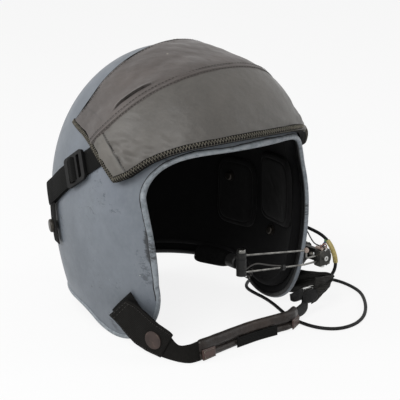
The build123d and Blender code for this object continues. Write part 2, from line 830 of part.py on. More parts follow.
def make_boom_block():
    middle_x = (block_in + block_out) / 2
    middle_z = (block_low + block_high) / 2
    block = Box(block_out - block_in, block_deep, block_high - block_low)
    block = chamfer(block.edges().filter_by(Axis.X), block_edge)
    block = Pos(middle_x, -block_ahead, middle_z) * block
    for height in (low_wire_height, high_wire_height):
        block -= along_x(wire_radius + wire_gap, far_side, -block_ahead, height, 0)
    save("boom_block", block)
    front = -block_ahead - block_deep / 2
    between_wires = (low_wire_height + high_wire_height) / 2
    head = Cylinder(clamp_screw_radius, clamp_screw_rise)
    head = Pos(0, 0, clamp_screw_rise / 2) * head
    socket = extrude(RegularPolygon(clamp_socket, 6), clamp_screw_rise / 2, both=True)
    head -= Pos(0, 0, clamp_screw_rise) * socket
    seats = [
        Plane(origin=(middle_x, front, between_wires), z_dir=(0, -1, 0)),
        Plane(origin=(middle_x, -block_ahead, block_low), z_dir=(0, 0, -1)),
    ]
    save("clamp_screws", Compound([seat * head for seat in seats]))
    lugs = []
    for side in lug_sides:
        lug = Plane(origin=(side, lead_route[0][1], lead_route[0][2]), z_dir=(0, -1, 0))
        lugs.append(lug * Pos(0, 0, lug_long / 2) * Cylinder(lug_radius, lug_long))
    save("lead_lugs", Compound(lugs))


def make_microphone():
    low, high = wire_points()
    low_wire = tube(low, wire_radius, [wire_bend])
    high_wire = tube(high, wire_radius, [wire_bend, wire_bend])
    save("boom_wire_low", low_wire)
    save("boom_wire_high", high_wire)
    knob = Pos(high_wire_turn, -block_ahead, high_wire_step) * Sphere(knob_radius)
    save("wire_knob", knob - high_wire)
    foot = Pos(0, 0, mic_foot_tall / 2) * Cylinder(mic_block_radius, mic_foot_tall)
    head_low = mic_head_low - mic_low
    head = Pos(0, 0, head_low + mic_head_tall / 2) * Cylinder(mic_block_radius, mic_head_tall)
    rod = Pos(0, 0, head_low / 2) * Cylinder(mic_rod_radius, head_low)
    post = Pos(mic_side, -mic_ahead, mic_low) * (foot + head + rod)
    save("mic_post", post - low_wire - high_wire)
    head_top = mic_head_low + mic_head_tall
    cap = Pos(mic_side, -mic_ahead, head_top + mic_cap_tall / 2) * Cylinder(mic_cap_radius, mic_cap_tall)
    cap = fillet(cap.faces().sort_by(Axis.Z)[-1].edges(), mic_cap_edge)
    save("mic_cap", cap)
    collar_low = mic_low + mic_foot_tall + collar_gap
    collar_high = mic_head_low - collar_gap
    middle_z = (collar_low + collar_high) / 2
    collar = Pos(mic_side, -mic_ahead, middle_z) * Cylinder(collar_radius, collar_high - collar_low)
    start = -mic_ahead + mic_block_radius + collar_gap
    back = Plane(origin=(mic_side, -mic_ahead, middle_z), z_dir=(0, 1, 0))
    neck_long = start + mic_ahead
    neck = back * Pos(0, 0, neck_long / 2) * Cylinder(capsule_neck, neck_long)
    capsule = back * Pos(0, 0, neck_long + capsule_long / 2) * Cylinder(capsule_radius, capsule_long)
    capsule = chamfer(capsule.faces().sort_by(Axis.Y)[0].edges(), capsule_edge)
    seat_radius = capsule_radius - grille_wall
    grille_start = neck_long + capsule_long - grille_thick
    capsule -= back * Pos(0, 0, grille_start + grille_thick / 2) * Cylinder(seat_radius, grille_thick)
    body = collar + neck + capsule
    body -= Pos(mic_side, -mic_ahead, middle_z) * Cylinder(mic_rod_radius + collar_gap, far_side)
    save("mic_capsule", body)
    disc = Circle(seat_radius - pin_gap) - Circle(grille_hole)
    for number in range(grille_holes):
        turn = 2 * math.pi * number / grille_holes
        disc -= Pos(grille_ring * math.cos(turn), grille_ring * math.sin(turn)) * Circle(grille_hole)
    save("mic_grille", back * Pos(0, 0, grille_start) * extrude(disc, grille_thick))
    last = low[-1]
    bend = low[1]
    share = (clip_side - bend[0]) / (last[0] - bend[0])
    place = [a + (b - a) * share for a, b in zip(bend, last)]
    clip = Plane(origin=place, z_dir=Vector(*last) - Vector(*bend)) * Cylinder(clip_radius, clip_long)
    save("lead_clip", clip - low_wire)
    save_cord("mic_lead", mic_lead_route, mic_lead_radius)


def bend_radii(route):
    """The radius at each corner of a route, as large as the two runs beside it allow."""
    radii = []
    for before, corner, after in zip(route, route[1:], route[2:]):
        first = Vector(*corner) - Vector(*before)
        second = Vector(*after) - Vector(*corner)
        turn = math.radians(first.get_angle(second))
        radii.append(cord_bend_share * min(first.length, second.length) / math.tan(turn / 2))
    return radii


def save_cord(name, route, radius):
    """A cord along its route, with its volume compared with its section times its length."""
    bends = bend_radii(route)
    solid = tube(route, radius, bends)
    length = FilletPolyline(*route, radius=bends).length
    share = solid.volume / (math.pi * radius ** 2 * length)
    print(name, "length", round(length), "radii", [round(bend, 1) for bend in bends])
    print(name, "volume share", round(share, 4))
    save(name, solid)


def make_cord():
    save_cord("comm_cord", cord_route, cord_radius)
    tip = Vector(*cord_route[0])
    out = (Vector(*cord_route[1]) - tip).normalized()
    root = tip - out * gland_length
    nose = Plane(origin=root + out * (gland_length / 2), z_dir=out)
    nose = nose * Cone(gland_radius, gland_tip_radius, gland_length)
    base_face = Rectangle(gland_base_long, gland_base_tall)
    base_face = fillet(base_face.vertices(), gland_corner)
    base = left_prism(Pos(root.Y, root.Z) * base_face) & form(gland_base_rise)
    save("cord_gland", nose + base - form(lining_gap))


def make_cord_sleeve():
    """Yellow sleeve round the cord, from the middle of one run to the middle of another."""
    corners = cord_route[sleeve_from + 1:sleeve_to + 1]
    first = (Vector(*cord_route[sleeve_from]) + Vector(*corners[0])) / 2
    last = (Vector(*corners[-1]) + Vector(*cord_route[sleeve_to + 1])) / 2
    points = [tuple(first), *corners, tuple(last)]
    bends = bend_radii(cord_route)[sleeve_from:sleeve_to]
    bore = tube(points, cord_radius + sleeve_gap, bends)
    save("cord_sleeve", tube(points, sleeve_radius, bends) - bore)


def make_plug():
    """Moulded plug lying on the table: a tapered neck, a ribbed grip and the contact pin."""
    run = Vector(*cord_route[-1]) - Vector(*cord_route[-2])
    flat = Vector(run.X, run.Y, 0).normalized()
    tail = Plane(origin=cord_route[-1], x_dir=(0, 0, 1), z_dir=flat)
    along = Axis(cord_route[-1], flat)
    neck = tail * Pos(0, 0, plug_neck_long / 2) * Cone(plug_tip_radius, plug_neck_radius, plug_neck_long)
    body = tail * Pos(0, 0, plug_neck_long + plug_long / 2) * Cylinder(plug_radius, plug_long)
    body = chamfer(body.faces().sort_by(along)[0].edges(), plug_edge)
    groove = Cylinder(2 * plug_radius, plug_groove) - Cylinder(plug_radius - plug_groove_deep, plug_groove)
    for number in range(plug_grooves):
        body -= tail * Pos(0, 0, plug_neck_long + plug_groove * (2 * number + 3)) * groove
    save("plug_body", neck + body)
    pin_middle = plug_neck_long + plug_long + plug_pin_long / 2
    pin = tail * Pos(0, 0, pin_middle) * Cylinder(plug_pin_radius, plug_pin_long)
    pin = fillet(pin.faces().sort_by(along)[-1].edges(), plug_pin_radius / 2)
    save("plug_pin", pin)


def make_boom_lead():
    save_cord("boom_lead", lead_route, lead_radius)
    end = lead_route[-1]
    seat = Plane(origin=end, z_dir=Vector(*end) - Vector(*lead_route[-2]))
    gland = Cylinder(lead_gland_radius, lead_gland_long)
    gland = seat * Pos(0, 0, lead_gland_long / 2) * gland
    save("lead_gland", gland - form(lining_gap))


make_shell()
make_liner()
make_pads()
make_nape_pad()
make_snaps()
make_cover()
make_side_straps()
make_side_buckles()
make_chin_strap()
make_chin_pad()
make_left_loop()
make_boom_mount()
make_boom_block()
make_microphone()
make_cord()
make_cord_sleeve()
make_plug()
make_boom_lead()

os.makedirs("parts", exist_ok=True)
for name, shape in parts.items():
    export_step(Pos(0, -origin_shift, 0) * shape, f"parts/{name}.step")
    print(name, round(sum(solid.volume for solid in shape.solids())), len(shape.solids()))
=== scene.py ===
import bpy
import bmesh
import math
import numpy as np
from mathutils import Matrix, Vector


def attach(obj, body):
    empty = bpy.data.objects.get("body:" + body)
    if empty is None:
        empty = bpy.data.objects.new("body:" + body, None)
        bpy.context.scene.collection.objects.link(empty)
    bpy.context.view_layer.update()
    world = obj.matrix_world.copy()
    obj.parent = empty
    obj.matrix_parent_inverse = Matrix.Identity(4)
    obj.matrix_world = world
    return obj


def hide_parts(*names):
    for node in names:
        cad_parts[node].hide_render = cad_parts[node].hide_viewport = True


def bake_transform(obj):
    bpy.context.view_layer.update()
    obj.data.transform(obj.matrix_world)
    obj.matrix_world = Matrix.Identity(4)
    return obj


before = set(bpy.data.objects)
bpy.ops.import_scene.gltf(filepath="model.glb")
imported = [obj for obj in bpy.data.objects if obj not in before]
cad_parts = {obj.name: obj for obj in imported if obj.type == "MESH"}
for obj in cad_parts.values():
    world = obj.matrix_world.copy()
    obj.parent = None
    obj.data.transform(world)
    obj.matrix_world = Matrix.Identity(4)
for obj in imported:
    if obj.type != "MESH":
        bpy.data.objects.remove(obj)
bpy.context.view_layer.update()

# Lengths below are millimetres in the frame of part.py, whose y = 0 is the shell's widest place.
# place() turns them into metres and moves them back by the same shift that part.py makes.
BACK_SHIFT = 7.5
HALF, FRONT, REAR = 118.0, 137.3, 146.2
EQUATOR, RISE, DROP = 124.8, 156.4, 225.5
FRONT_POWER, REAR_POWER = 2.5, 2.18
CENTRE = np.array([0.0, 0.0, EQUATOR])
MIRROR = np.array([-1.0, 1.0, 1.0])
HANDS = ((1, "left"), (-1, "right"))
TRIM_WALL = 1.3
SHELL_WALL = 3.0


def place(points):
    """Millimetres of part.py as metres in the shared frame."""
    return (np.asarray(points, float) - (0.0, BACK_SHIFT, 0.0)) / 1000


def unit(vectors):
    return vectors / np.maximum(np.linalg.norm(vectors, axis=-1, keepdims=True), 1e-12)


def smooth_step(value, start, end):
    share = np.clip((np.asarray(value, float) - start) / (end - start), 0, 1)
    return share * share * (3 - 2 * share)


def hill(gap, width):
    """1 where the gap is 0, and next to nothing past twice the width."""
    return np.exp(-(gap / width) ** 2)


def squared(wave, power):
    """A wave pressed towards a square one."""
    return np.sign(wave) * np.abs(wave) ** power


def pairs(first, second):
    """Two arrays or numbers as one array of pairs."""
    return np.stack(np.broadcast_arrays(first, second), -1)


# Form of the shell

def powers(y):
    return np.where(y < 0, FRONT_POWER, REAR_POWER)


def reaches(y, out):
    return np.where(y < 0, FRONT, REAR) + out


def flat_measure(x, y, out):
    """The form's measure in plan view, 1 on its widest outline."""
    power = powers(y)
    return ((np.abs(x) / (HALF + out)) ** power + (np.abs(y) / reaches(y, out)) ** power) ** (2 / power)


def height_measure(z, out):
    return ((z - EQUATOR) / (np.where(z > EQUATOR, RISE, DROP) + out)) ** 2


def shrinks(z, out):
    """The form's size at a height, as a share of its widest."""
    return np.sqrt(np.clip(1 - height_measure(z, out), 1e-9, None))


def measure(points, out=0.0):
    """1 on the form grown by out, less than 1 inside it."""
    return flat_measure(points[..., 0], points[..., 1], out) + height_measure(points[..., 2], out)


def on_form(points, out=0.0):
    """Points moved to the form along lines from its centre."""
    return CENTRE + (points - CENTRE) / np.sqrt(measure(points, out))[..., None]


def normals(points):
    step = 0.05
    slopes = [measure(points + axis * step) - measure(points - axis * step) for axis in np.eye(3)]
    return unit(np.stack(slopes, -1))


def lift(places, out=0.0):
    """Left side points over side view places (y, z), with x = 0 for a place off the form."""
    places = np.asarray(places, float)
    y, z = places[..., 0], places[..., 1]
    shrink = shrinks(z, out)
    power = powers(y)
    rest = 1 - (np.abs(y) / (reaches(y, out) * shrink)) ** power
    x = (HALF + out) * shrink * np.clip(rest, 0, None) ** (1 / power)
    return np.stack([x, y, z], -1)


def rear_y(x, z, out):
    """Back surface over places (x, z)."""
    shrink = shrinks(z, out)
    rest = np.clip(1 - (np.abs(x) / ((HALF + out) * shrink)) ** REAR_POWER, 1e-6, None)
    return np.stack([x, (REAR + out) * shrink * rest ** (1 / REAR_POWER), z], -1)


def crown_z(x, y, out):
    """Top surface over places (x, y)."""
    rise = (RISE + out) * np.sqrt(np.clip(1 - flat_measure(x, y, out), 1e-6, None))
    return np.stack([x, y, EQUATOR + rise], -1)


# Lines

def run_along(points):
    """Length of a line from its start to each of its points."""
    return np.concatenate([[0], np.cumsum(np.linalg.norm(np.diff(points, axis=0), axis=1))])


def at_lengths(wanted, run, points):
    return np.stack([np.interp(wanted, run, column) for column in points.T], 1)


def resample(points, step=None, count=None):
    points = np.asarray(points, float)
    run = run_along(points)
    if count is None:
        count = max(2, int(round(run[-1] / step)) + 1)
    return at_lengths(np.linspace(0, run[-1], count), run, points)


def soften(points, times):
    points = np.array(points, float)
    for _ in range(times):
        points[1:-1] = (points[:-2] + 2 * points[1:-1] + points[2:]) / 4
    return points


def through(points, count):
    """A smooth line through a few points."""
    points = np.asarray(points, float)
    padded = np.vstack([2 * points[0] - points[1], points, 2 * points[-1] - points[-2]])
    wanted = np.linspace(0, len(points) - 1, count)
    spans = np.minimum(wanted.astype(int), len(points) - 2)
    t = (wanted - spans)[:, None]
    a, b, c, d = (padded[spans + shift] for shift in range(4))
    return 0.5 * (2 * b + (c - a) * t + (2 * a - 5 * b + 4 * c - d) * t ** 2 + (3 * b - a - 3 * c + d) * t ** 3)


def over_crown(path, step, softness=20):
    """A side view line lifted to the left side and carried over the centre to the right side."""
    path = soften(resample(path, step=1.0), softness)
    points = lift(resample(path, step=0.05))
    first, last = np.flatnonzero(points[:, 0] > 0)[[0, -1]]
    left = points[first:last + 1]
    if first > 0:
        left = np.vstack([left[0] * (0, 1, 1), left])
    if last < len(points) - 1:
        left = np.vstack([left, left[-1] * (0, 1, 1)])
    whole = np.vstack([left, (left * MIRROR)[::-1][1:]])
    return resample(whole, step=step)


def directions(path, closed=False):
    """Along, outward and sideways directions at each point of a line on the form."""
    if closed:
        along = np.roll(path, -1, axis=0) - np.roll(path, 1, axis=0)
    else:
        along = np.gradient(path, axis=0)
    along = unit(along)
    outward = normals(path)
    return along, outward, unit(np.cross(outward, along))


def arc(centre, radius, start, end, count):
    turn = np.radians(np.linspace(start, end, count))
    return np.stack([centre[0] + radius * np.cos(turn), centre[1] + radius * np.sin(turn)], 1)


BEYOND, ABOVE = 60, 400


def edge_profile():
    """Side view of the shell's edge, from the brow in front to the nape behind."""
    brow, front_y, lobe_y, bow = 196.0, -81.9, -27.7, 4.9
    lean, leave, radius, lobe = 2.5, 47.4, 38.6, 65.1
    before_nape, after_nape = 21.0, 24.0
    slope = math.radians(lean)
    corner = arc((front_y - radius * (math.tan(slope) + 1 / math.cos(slope)), brow - radius), radius, 90, -lean, 40)
    lobe_arc = arc((lobe_y, lobe), lobe, 180 - lean, 270 + leave, 120)
    share = np.linspace(0, 1, 60)[1:-1, None]
    front = corner[-1] + (lobe_arc[0] - corner[-1]) * share
    front[:, 0] -= bow * 4 * share[:, 0] * (1 - share[:, 0])
    nape_corner = lobe_arc[-1]
    before = lobe_arc[np.linalg.norm(lobe_arc - nape_corner, axis=1) > before_nape]
    after = nape_corner + (after_nape, 0)
    blend = np.linspace(0, 1, 12)[:, None]
    nape = (1 - blend) ** 2 * before[-1] + 2 * blend * (1 - blend) * nape_corner + blend ** 2 * after
    profile = np.vstack([(-FRONT - BEYOND, brow), corner, front, before, nape, (REAR + BEYOND, after[1])])
    fresh = np.linalg.norm(np.diff(profile, axis=0), axis=1) > 0.01
    return np.vstack([profile[:1], profile[1:][fresh]])


PROFILE = edge_profile()


def edge_distance(places):
    """Side view distance from the shell's edge, positive on the shell's side."""
    best = np.full(len(places), 1e9)
    odd = np.zeros(len(places), bool)
    outline = np.vstack([PROFILE, (REAR + BEYOND, ABOVE), (-FRONT - BEYOND, ABOVE), PROFILE[0]])
    y, z = places.T
    for number, (start, end) in enumerate(zip(outline, outline[1:])):
        run = end - start
        if start[1] != end[1]:
            crosses = (start[1] > z) != (end[1] > z)
            odd ^= crosses & (y < start[0] + run[0] * (z - start[1]) / run[1])
        if number < len(PROFILE) - 1:
            share = np.clip(((places - start) @ run) / (run @ run), 0, 1)
            best = np.minimum(best, np.linalg.norm(places - start - share[:, None] * run, axis=1))
    return np.where(odd, best, -best)


# Soft noise for folds and wear, summed from a few seeded waves

WAVES, OCTAVE_RATIO, OCTAVE_FALL, WAVE_LEVEL = 5, 1.9, 0.6, 3


def wavy(points, size, seed, octaves=3):
    """Smooth values between about -1 and 1 that change over the given size."""
    source = np.random.default_rng(seed)
    total = np.zeros(np.shape(points)[:-1])
    for octave in range(octaves):
        scale = 2 * math.pi / (size / OCTAVE_RATIO ** octave)
        for _ in range(WAVES):
            direction = unit(source.normal(size=np.shape(points)[-1])) * scale * source.uniform(0.6, 1.3)
            total += np.sin(points @ direction + source.uniform(0, 6.3)) * OCTAVE_FALL ** octave / WAVE_LEVEL
    return total


# Looks

BAND_PERIOD = 0.314  # of the wave texture at scale 1
PLAIN_GRAIN = 0.15


def linear(colour):
    """A colour read on a screen, 0 to 255, as a linear one."""
    values = [value / 255 for value in colour]
    return [value / 12.92 if value <= 0.04045 else ((value + 0.055) / 1.055) ** 2.4 for value in values] + [1.0]


class Look:
    """A small builder of procedural materials on the object's own coordinates; its colours are screen ones."""

    def __init__(self, name, rough=0.5, metal=0.0):
        self.material = bpy.data.materials.new(name)
        self.material.use_nodes = True
        self.tree = self.material.node_tree
        self.shader = self.tree.nodes["Principled BSDF"]
        self.coordinates = self.tree.nodes.new("ShaderNodeTexCoord").outputs
        self.normal = None
        self.set(Roughness=rough, Metallic=metal)

    def node(self, kind, settings=(), **inputs):
        made = self.tree.nodes.new(kind)
        for key, value in dict(settings).items():
            setattr(made, key, value)
        for key, value in inputs.items():
            socket = made.inputs[int(key[1:])] if key[1:].isdigit() else made.inputs[key.replace("_", " ")]
            if isinstance(value, bpy.types.NodeSocket):
                self.tree.links.new(value, socket)
            else:
                socket.default_value = value
        return made

    def noise(self, scale, detail, rough, stretch=None):
        vector = self.coordinates["Object"]
        if stretch is not None:
            vector = self.node("ShaderNodeMapping", Vector=vector, Scale=stretch).outputs[0]
        return self.node("ShaderNodeTexNoise", Vector=vector, Scale=scale, Detail=detail, Roughness=rough).outputs[0]

    def cells(self, scale, feature="DISTANCE_TO_EDGE"):
        vector = self.coordinates["Object"]
        return self.node("ShaderNodeTexVoronoi", {"feature": feature}, Vector=vector, Scale=scale).outputs["Distance"]

    def bands(self, scale, direction):
        settings = {"wave_type": "BANDS", "bands_direction": direction, "wave_profile": "SIN"}
        vector = self.coordinates["UV"]
        return self.node("ShaderNodeTexWave", settings, Vector=vector, Scale=scale, Distortion=0.6).outputs["Fac"]

    def ramp(self, value, *stops):
        made = self.node("ShaderNodeValToRGB", Fac=value)
        elements = made.color_ramp.elements
        while len(elements) < len(stops):
            elements.new(0.5)
        for element, (position, colour) in zip(elements, stops):
            element.position = position
            element.color = linear(colour) if isinstance(colour, tuple) else (colour, colour, colour, 1.0)
        return made.outputs["Color"]

    def mix(self, share, first, second):
        second = linear(second) if isinstance(second, tuple) else second
        return self.node("ShaderNodeMix", {"data_type": "RGBA"}, _0=share, _6=first, _7=second).outputs[2]

    def cover(self, base, *layers):
        """Colours laid over a base, each to a share that runs between two stops of its values."""
        for values, low, high, colour in layers:
            base = self.mix(self.ramp(values, low, high), base, colour)
        return base

    def combine(self, first, second, operation="MULTIPLY"):
        return self.node("ShaderNodeMath", {"operation": operation}, _0=first, _1=second).outputs[0]

    def stored(self, name):
        return self.node("ShaderNodeAttribute", {"attribute_name": name}).outputs["Fac"]

    def colour(self, value):
        self.tree.links.new(value, self.shader.inputs["Base Color"])

    def rough(self, value, low, high):
        made = self.node("ShaderNodeMapRange", Value=value, To_Min=low, To_Max=high)
        self.tree.links.new(made.outputs[0], self.shader.inputs["Roughness"])

    def bump(self, height, strength, distance):
        inputs = {"Height": height, "Strength": strength, "Distance": distance}
        if self.normal is not None:
            inputs["Normal"] = self.normal
        self.normal = self.node("ShaderNodeBump", **inputs).outputs[0]
        self.tree.links.new(self.normal, self.shader.inputs["Normal"])

    def set(self, **values):
        for key, value in values.items():
            self.shader.inputs[key.replace("_", " ")].default_value = value


def paint_look(name, dark, mid, light, chips, fleck=0.28):
    """Old satin paint: mottled, with scuffs where the stored wear is high."""
    look = Look(name)
    clouds = look.noise(9.0, 5.0, 0.6)
    specks = look.noise(260.0, 2.0, 0.5)
    streaks = look.noise(30.0, 6.0, 0.7, (1.0, 1.0, 0.25))
    smudges = look.noise(17.0, 7.0, 0.72)
    tints = look.noise(6.5, 3.0, 0.55)
    scratches = look.combine(look.noise(95.0, 7.0, 0.85, (0.8, 0.8, 1.3)), look.noise(19.0, 2.0, 0.5))
    wear = look.combine(look.stored("wear"), look.noise(130.0, 8.0, 0.85, (0.4, 0.4, 1.8)))
    base = look.cover(
        look.ramp(clouds, (0.25, dark), (0.5, mid), (0.78, light)),
        (specks, (0.3, 0.0), (0.8, fleck), light),
        (streaks, (0.42, 0.0), (0.75, 0.35), dark),
        (smudges, (0.53, 0.0), (0.72, 0.5), dark),
        (tints, (0.45, 0.0), (0.7, 0.45), (98, 104, 118)),
        (scratches, (0.345, 0.0), (0.385, 0.6), (50, 54, 60)),
        (wear, (0.31, 0.0), (0.38, 0.9), (34, 36, 38)),
    )
    base = look.mix(look.stored("inside"), base, (9, 9, 10))
    look.colour(look.cover(base, (look.cells(34.0, "F1"), (chips, 1.0), (chips + 0.02, 0.0), (196, 196, 190))))
    look.rough(look.noise(55.0, 4.0, 0.7), 0.36, 0.62)
    look.bump(look.noise(700.0, 3.0, 0.6), 0.12, 0.0004)
    look.bump(look.noise(24.0, 3.0, 0.5), 0.10, 0.002)
    look.bump(wear, 0.25, 0.0005)
    look.set(Specular_IOR_Level=0.45)
    return look.material


def leather_look(name, dark, mid, light, grain=900.0, rough=(0.38, 0.58), crease=0.25, specular=0.4):
    """Grained leather, lighter where the stored strip is 1, with painted shade along the stored crease."""
    look = Look(name)
    clouds = look.noise(13.0, 6.0, 0.62)
    fine = look.noise(340.0, 4.0, 0.65)
    pores = look.cells(grain)
    folds = look.noise(46.0, 5.0, 0.6, (1.0, 0.45, 1.6))
    dust = look.cells(24.0, "F1")
    base = look.cover(
        look.ramp(clouds, (0.28, dark), (0.52, mid), (0.8, light)),
        (fine, (0.35, 0.0), (0.75, 0.3), light),
        (pores, (0.0, 0.22), (0.1, 0.0), dark),
        (folds, (0.55, 0.0), (0.85, 0.35), dark),
        (dust, (0.022, 0.7), (0.034, 0.0), (158, 152, 140)),
    )
    strip = look.ramp(clouds, (0.28, (64, 62, 58)), (0.52, (80, 77, 72)), (0.8, (96, 92, 86)))
    base = look.mix(look.stored("strip"), base, strip)
    # Painted shade: the leather turns near-black along the stored crease, standing for the shade in tucks, folds and
    # seam grooves.
    look.colour(look.mix(look.stored("crease"), base, (22, 20, 18)))
    look.rough(look.noise(60.0, 4.0, 0.6), *rough)
    look.bump(pores, 0.35, 0.00025)
    look.bump(folds, crease, 0.0025)
    look.bump(fine, 0.12, 0.0004)
    look.set(Specular_IOR_Level=specular, Sheen_Weight=0.2 * specular, Sheen_Roughness=0.6)
    return look.material


def weave_look(name, dark, light, pitch, rough=0.85):
    """Woven webbing: ribs across and along the band, from its own flat coordinates in metres."""
    look = Look(name, rough)
    scale = BAND_PERIOD / (pitch / 1000)
    along, across = look.bands(scale, "X"), look.bands(scale * 0.8, "Y")
    weave = look.combine(look.combine(look.combine(along, across), 0.5), look.combine(across, 0.5), "ADD")
    fuzz = look.noise(420.0, 4.0, 0.7)
    look.colour(look.cover(
        look.ramp(weave, (0.1, dark), (0.85, light)),
        (fuzz, (0.4, 0.0), (0.8, 0.4), light),
        (look.noise(35.0, 5.0, 0.6), (0.4, 0.0), (0.8, 0.35), dark),
    ))
    look.bump(weave, 0.8, 0.0004)
    look.bump(fuzz, 0.3, 0.0003)
    look.set(Specular_IOR_Level=0.12)
    return look.material


def cloth_look(name, dark, light, scale, sheen):
    """Brushed lining fabric without flat coordinates."""
    look = Look(name, 0.9)
    fibres = look.cells(scale * 3)
    base = look.ramp(look.noise(scale / 4, 5.0, 0.6), (0.3, dark), (0.75, light))
    look.colour(look.cover(base, (fibres, (0.0, 0.35), (0.12, 0.0), dark)))
    look.bump(fibres, 0.5, 0.0003)
    look.bump(look.noise(60.0, 4.0, 0.55), 0.2, 0.0015)
    look.set(Specular_IOR_Level=0.15, Sheen_Weight=sheen, Sheen_Roughness=0.6)
    return look.material


def plain_look(name, dark, light, rough, metal=0.0, scale=180.0, wear=None, specular=0.5):
    """Moulded plastic, rubber or metal with handling marks."""
    look = Look(name, metal=metal)
    base = look.ramp(look.noise(scale / 3, 5.0, 0.6), (0.3, dark), (0.72, light))
    if wear is not None:
        base = look.cover(base, (look.noise(scale, 6.0, 0.75), (0.56, 0.0), (0.68, 0.8), wear))
    look.colour(base)
    look.rough(look.noise(scale * 1.3, 4.0, 0.65), *rough)
    look.bump(look.noise(scale * 5, 3.0, 0.6), PLAIN_GRAIN, 0.0003)
    look.set(Specular_IOR_Level=specular)
    return look.material


def glass_look(name):
    look = Look(name, 0.12)
    look.colour(look.ramp(look.noise(14.0, 3.0, 0.5), (0.3, (44, 50, 40)), (0.7, (62, 66, 54))))
    look.rough(look.noise(200.0, 3.0, 0.6), 0.06, 0.2)
    look.set(Alpha=0.75, Coat_Weight=0.3)
    return look.material


PAINT = paint_look("shell_paint", (80, 86, 93), (103, 109, 116), (117, 123, 129), 0.016)
EDGE_PAINT = paint_look("edge_paint", (78, 85, 92), (104, 111, 117), (150, 156, 160), 0.02, 0.95)
# Near-black look of the strip that is painted shade in the groove between the edging and the shell.
GROOVE_SHADE = plain_look("groove_shade", (14, 14, 15), (30, 31, 33), (0.6, 0.85))
FRONT_LEATHER = leather_look("front_leather", (60, 58, 55), (76, 73, 69), (91, 87, 82), crease=0.45)
CROWN_LEATHER = leather_look("crown_leather", (55, 50, 48), (70, 64, 61), (86, 78, 74), crease=0.4)
BINDING = weave_look("binding_cloth", (10, 9, 9), (30, 28, 25), 0.9)
THREAD = plain_look("tan_thread", (84, 80, 70), (128, 123, 110), (0.7, 0.9), scale=900.0)
DARK_THREAD = plain_look("dark_thread", (28, 26, 24), (54, 50, 46), (0.7, 0.9), scale=900.0)
WEBBING = weave_look("black_webbing", (8, 8, 8), (24, 24, 23), 1.2)
TAB_WEBBING = weave_look("tab_webbing", (11, 10, 10), (28, 27, 24), 0.9)
LOOP_FABRIC = weave_look("loop_fabric", (13, 13, 13), (54, 53, 50), 1.2, 0.55)
BLACK_STRAP = weave_look("black_strap", (10, 10, 10), (26, 26, 26), 1.1, 0.45)
LINING = cloth_look("lining_cloth", (4, 4, 5), (11, 11, 12), 420.0, 0.03)
PAD_CLOTH = cloth_look("pad_cloth", (5, 5, 5), (14, 14, 15), 300.0, 0.05)
PAD_LEATHER = leather_look("pad_leather", (16, 12, 10), (32, 25, 21), (60, 48, 40), 700.0, (0.28, 0.48), 0.9, 0.24)
TAN_LEATHER = leather_look("tan_leather", (34, 22, 19), (62, 38, 32), (96, 62, 50), 700.0, (0.35, 0.6))
RUBBER = plain_look("black_rubber", (14, 14, 14), (34, 34, 34), (0.45, 0.7))
BLACK_PLASTIC = plain_look("black_plastic", (8, 8, 8), (20, 20, 20), (0.4, 0.62), wear=(52, 50, 46), specular=0.28)
BUCKLE = plain_look("buckle_enamel", (5, 5, 5), (12, 12, 12), (0.45, 0.65), wear=(30, 29, 27), specular=0.2)
BRONZE = plain_look("cap_bronze", (40, 31, 28), (66, 52, 47), (0.35, 0.6), 0.35, wear=(96, 80, 70))
STEEL = plain_look("bright_steel", (150, 150, 148), (206, 206, 204), (0.2, 0.4), 1.0)
WIRE_STEEL = plain_look("wire_steel", (74, 73, 71), (142, 141, 137), (0.2, 0.38), 0.95, 320.0)
ALLOY = plain_look("dull_alloy", (34, 34, 33), (70, 69, 66), (0.3, 0.5), 0.8, wear=(110, 106, 98))
SNAP = plain_look("worn_snap", (34, 32, 30), (74, 70, 64), (0.3, 0.5), 0.8, wear=(20, 19, 18))
WHITE_PLASTIC = plain_look("white_plastic", (128, 108, 100), (186, 172, 160), (0.4, 0.6), wear=(96, 66, 58))
CORD_RUBBER = plain_look("cord_rubber", (8, 8, 8), (20, 20, 20), (0.5, 0.75), scale=260.0, specular=0.22)
YELLOW = plain_look("sleeve_yellow", (150, 134, 76), (190, 174, 112), (0.4, 0.6), scale=400.0, wear=(120, 106, 66))
LEAD_BLACK = plain_look("lead_black", (20, 19, 18), (52, 48, 44), (0.4, 0.6), scale=400.0)
LEAD_BROWN = plain_look("lead_brown", (92, 62, 50), (150, 112, 98), (0.4, 0.6), scale=400.0)
GREEN = plain_look("terminal_green", (34, 72, 34), (70, 128, 58), (0.35, 0.6), scale=400.0)
BLUE = plain_look("terminal_blue", (20, 30, 52), (44, 62, 98), (0.3, 0.5), scale=400.0)
GLASS = glass_look("visor_tint")


# Pieces

MERGE, NO_AREA = 1e-6, 1e-7  # metres within which corners are merged and faces are dissolved
SHARP = 50  # degrees
RIM_ROWS, RIM_SHARE = 2, 0.35  # rows at a slab's rim that taper, and the outermost one's share of the thickness
RIB = 1.2  # a section's corner spacing in its flat coordinates
FOLD_SIZE, FOLD_SEED = 16.0, 91
PLEAT_TURNS, PLEAT_SWAY, PLEAT_RUN = 4.6, 2.2, 5.0
THREAD_END = 0.12
STITCH_GAP = 1.1
PAD_SEAM, PAD_SEAM_WIDTH, PAD_SEAM_DEPTH = 0.86, 0.022, 0.18  # shares of a pad's size, and of its thickness
PAD_BACK_SIZE = 0.97


def add_object(name, data):
    made = bpy.data.objects.new(name, data)
    bpy.context.scene.collection.objects.link(made)
    return made


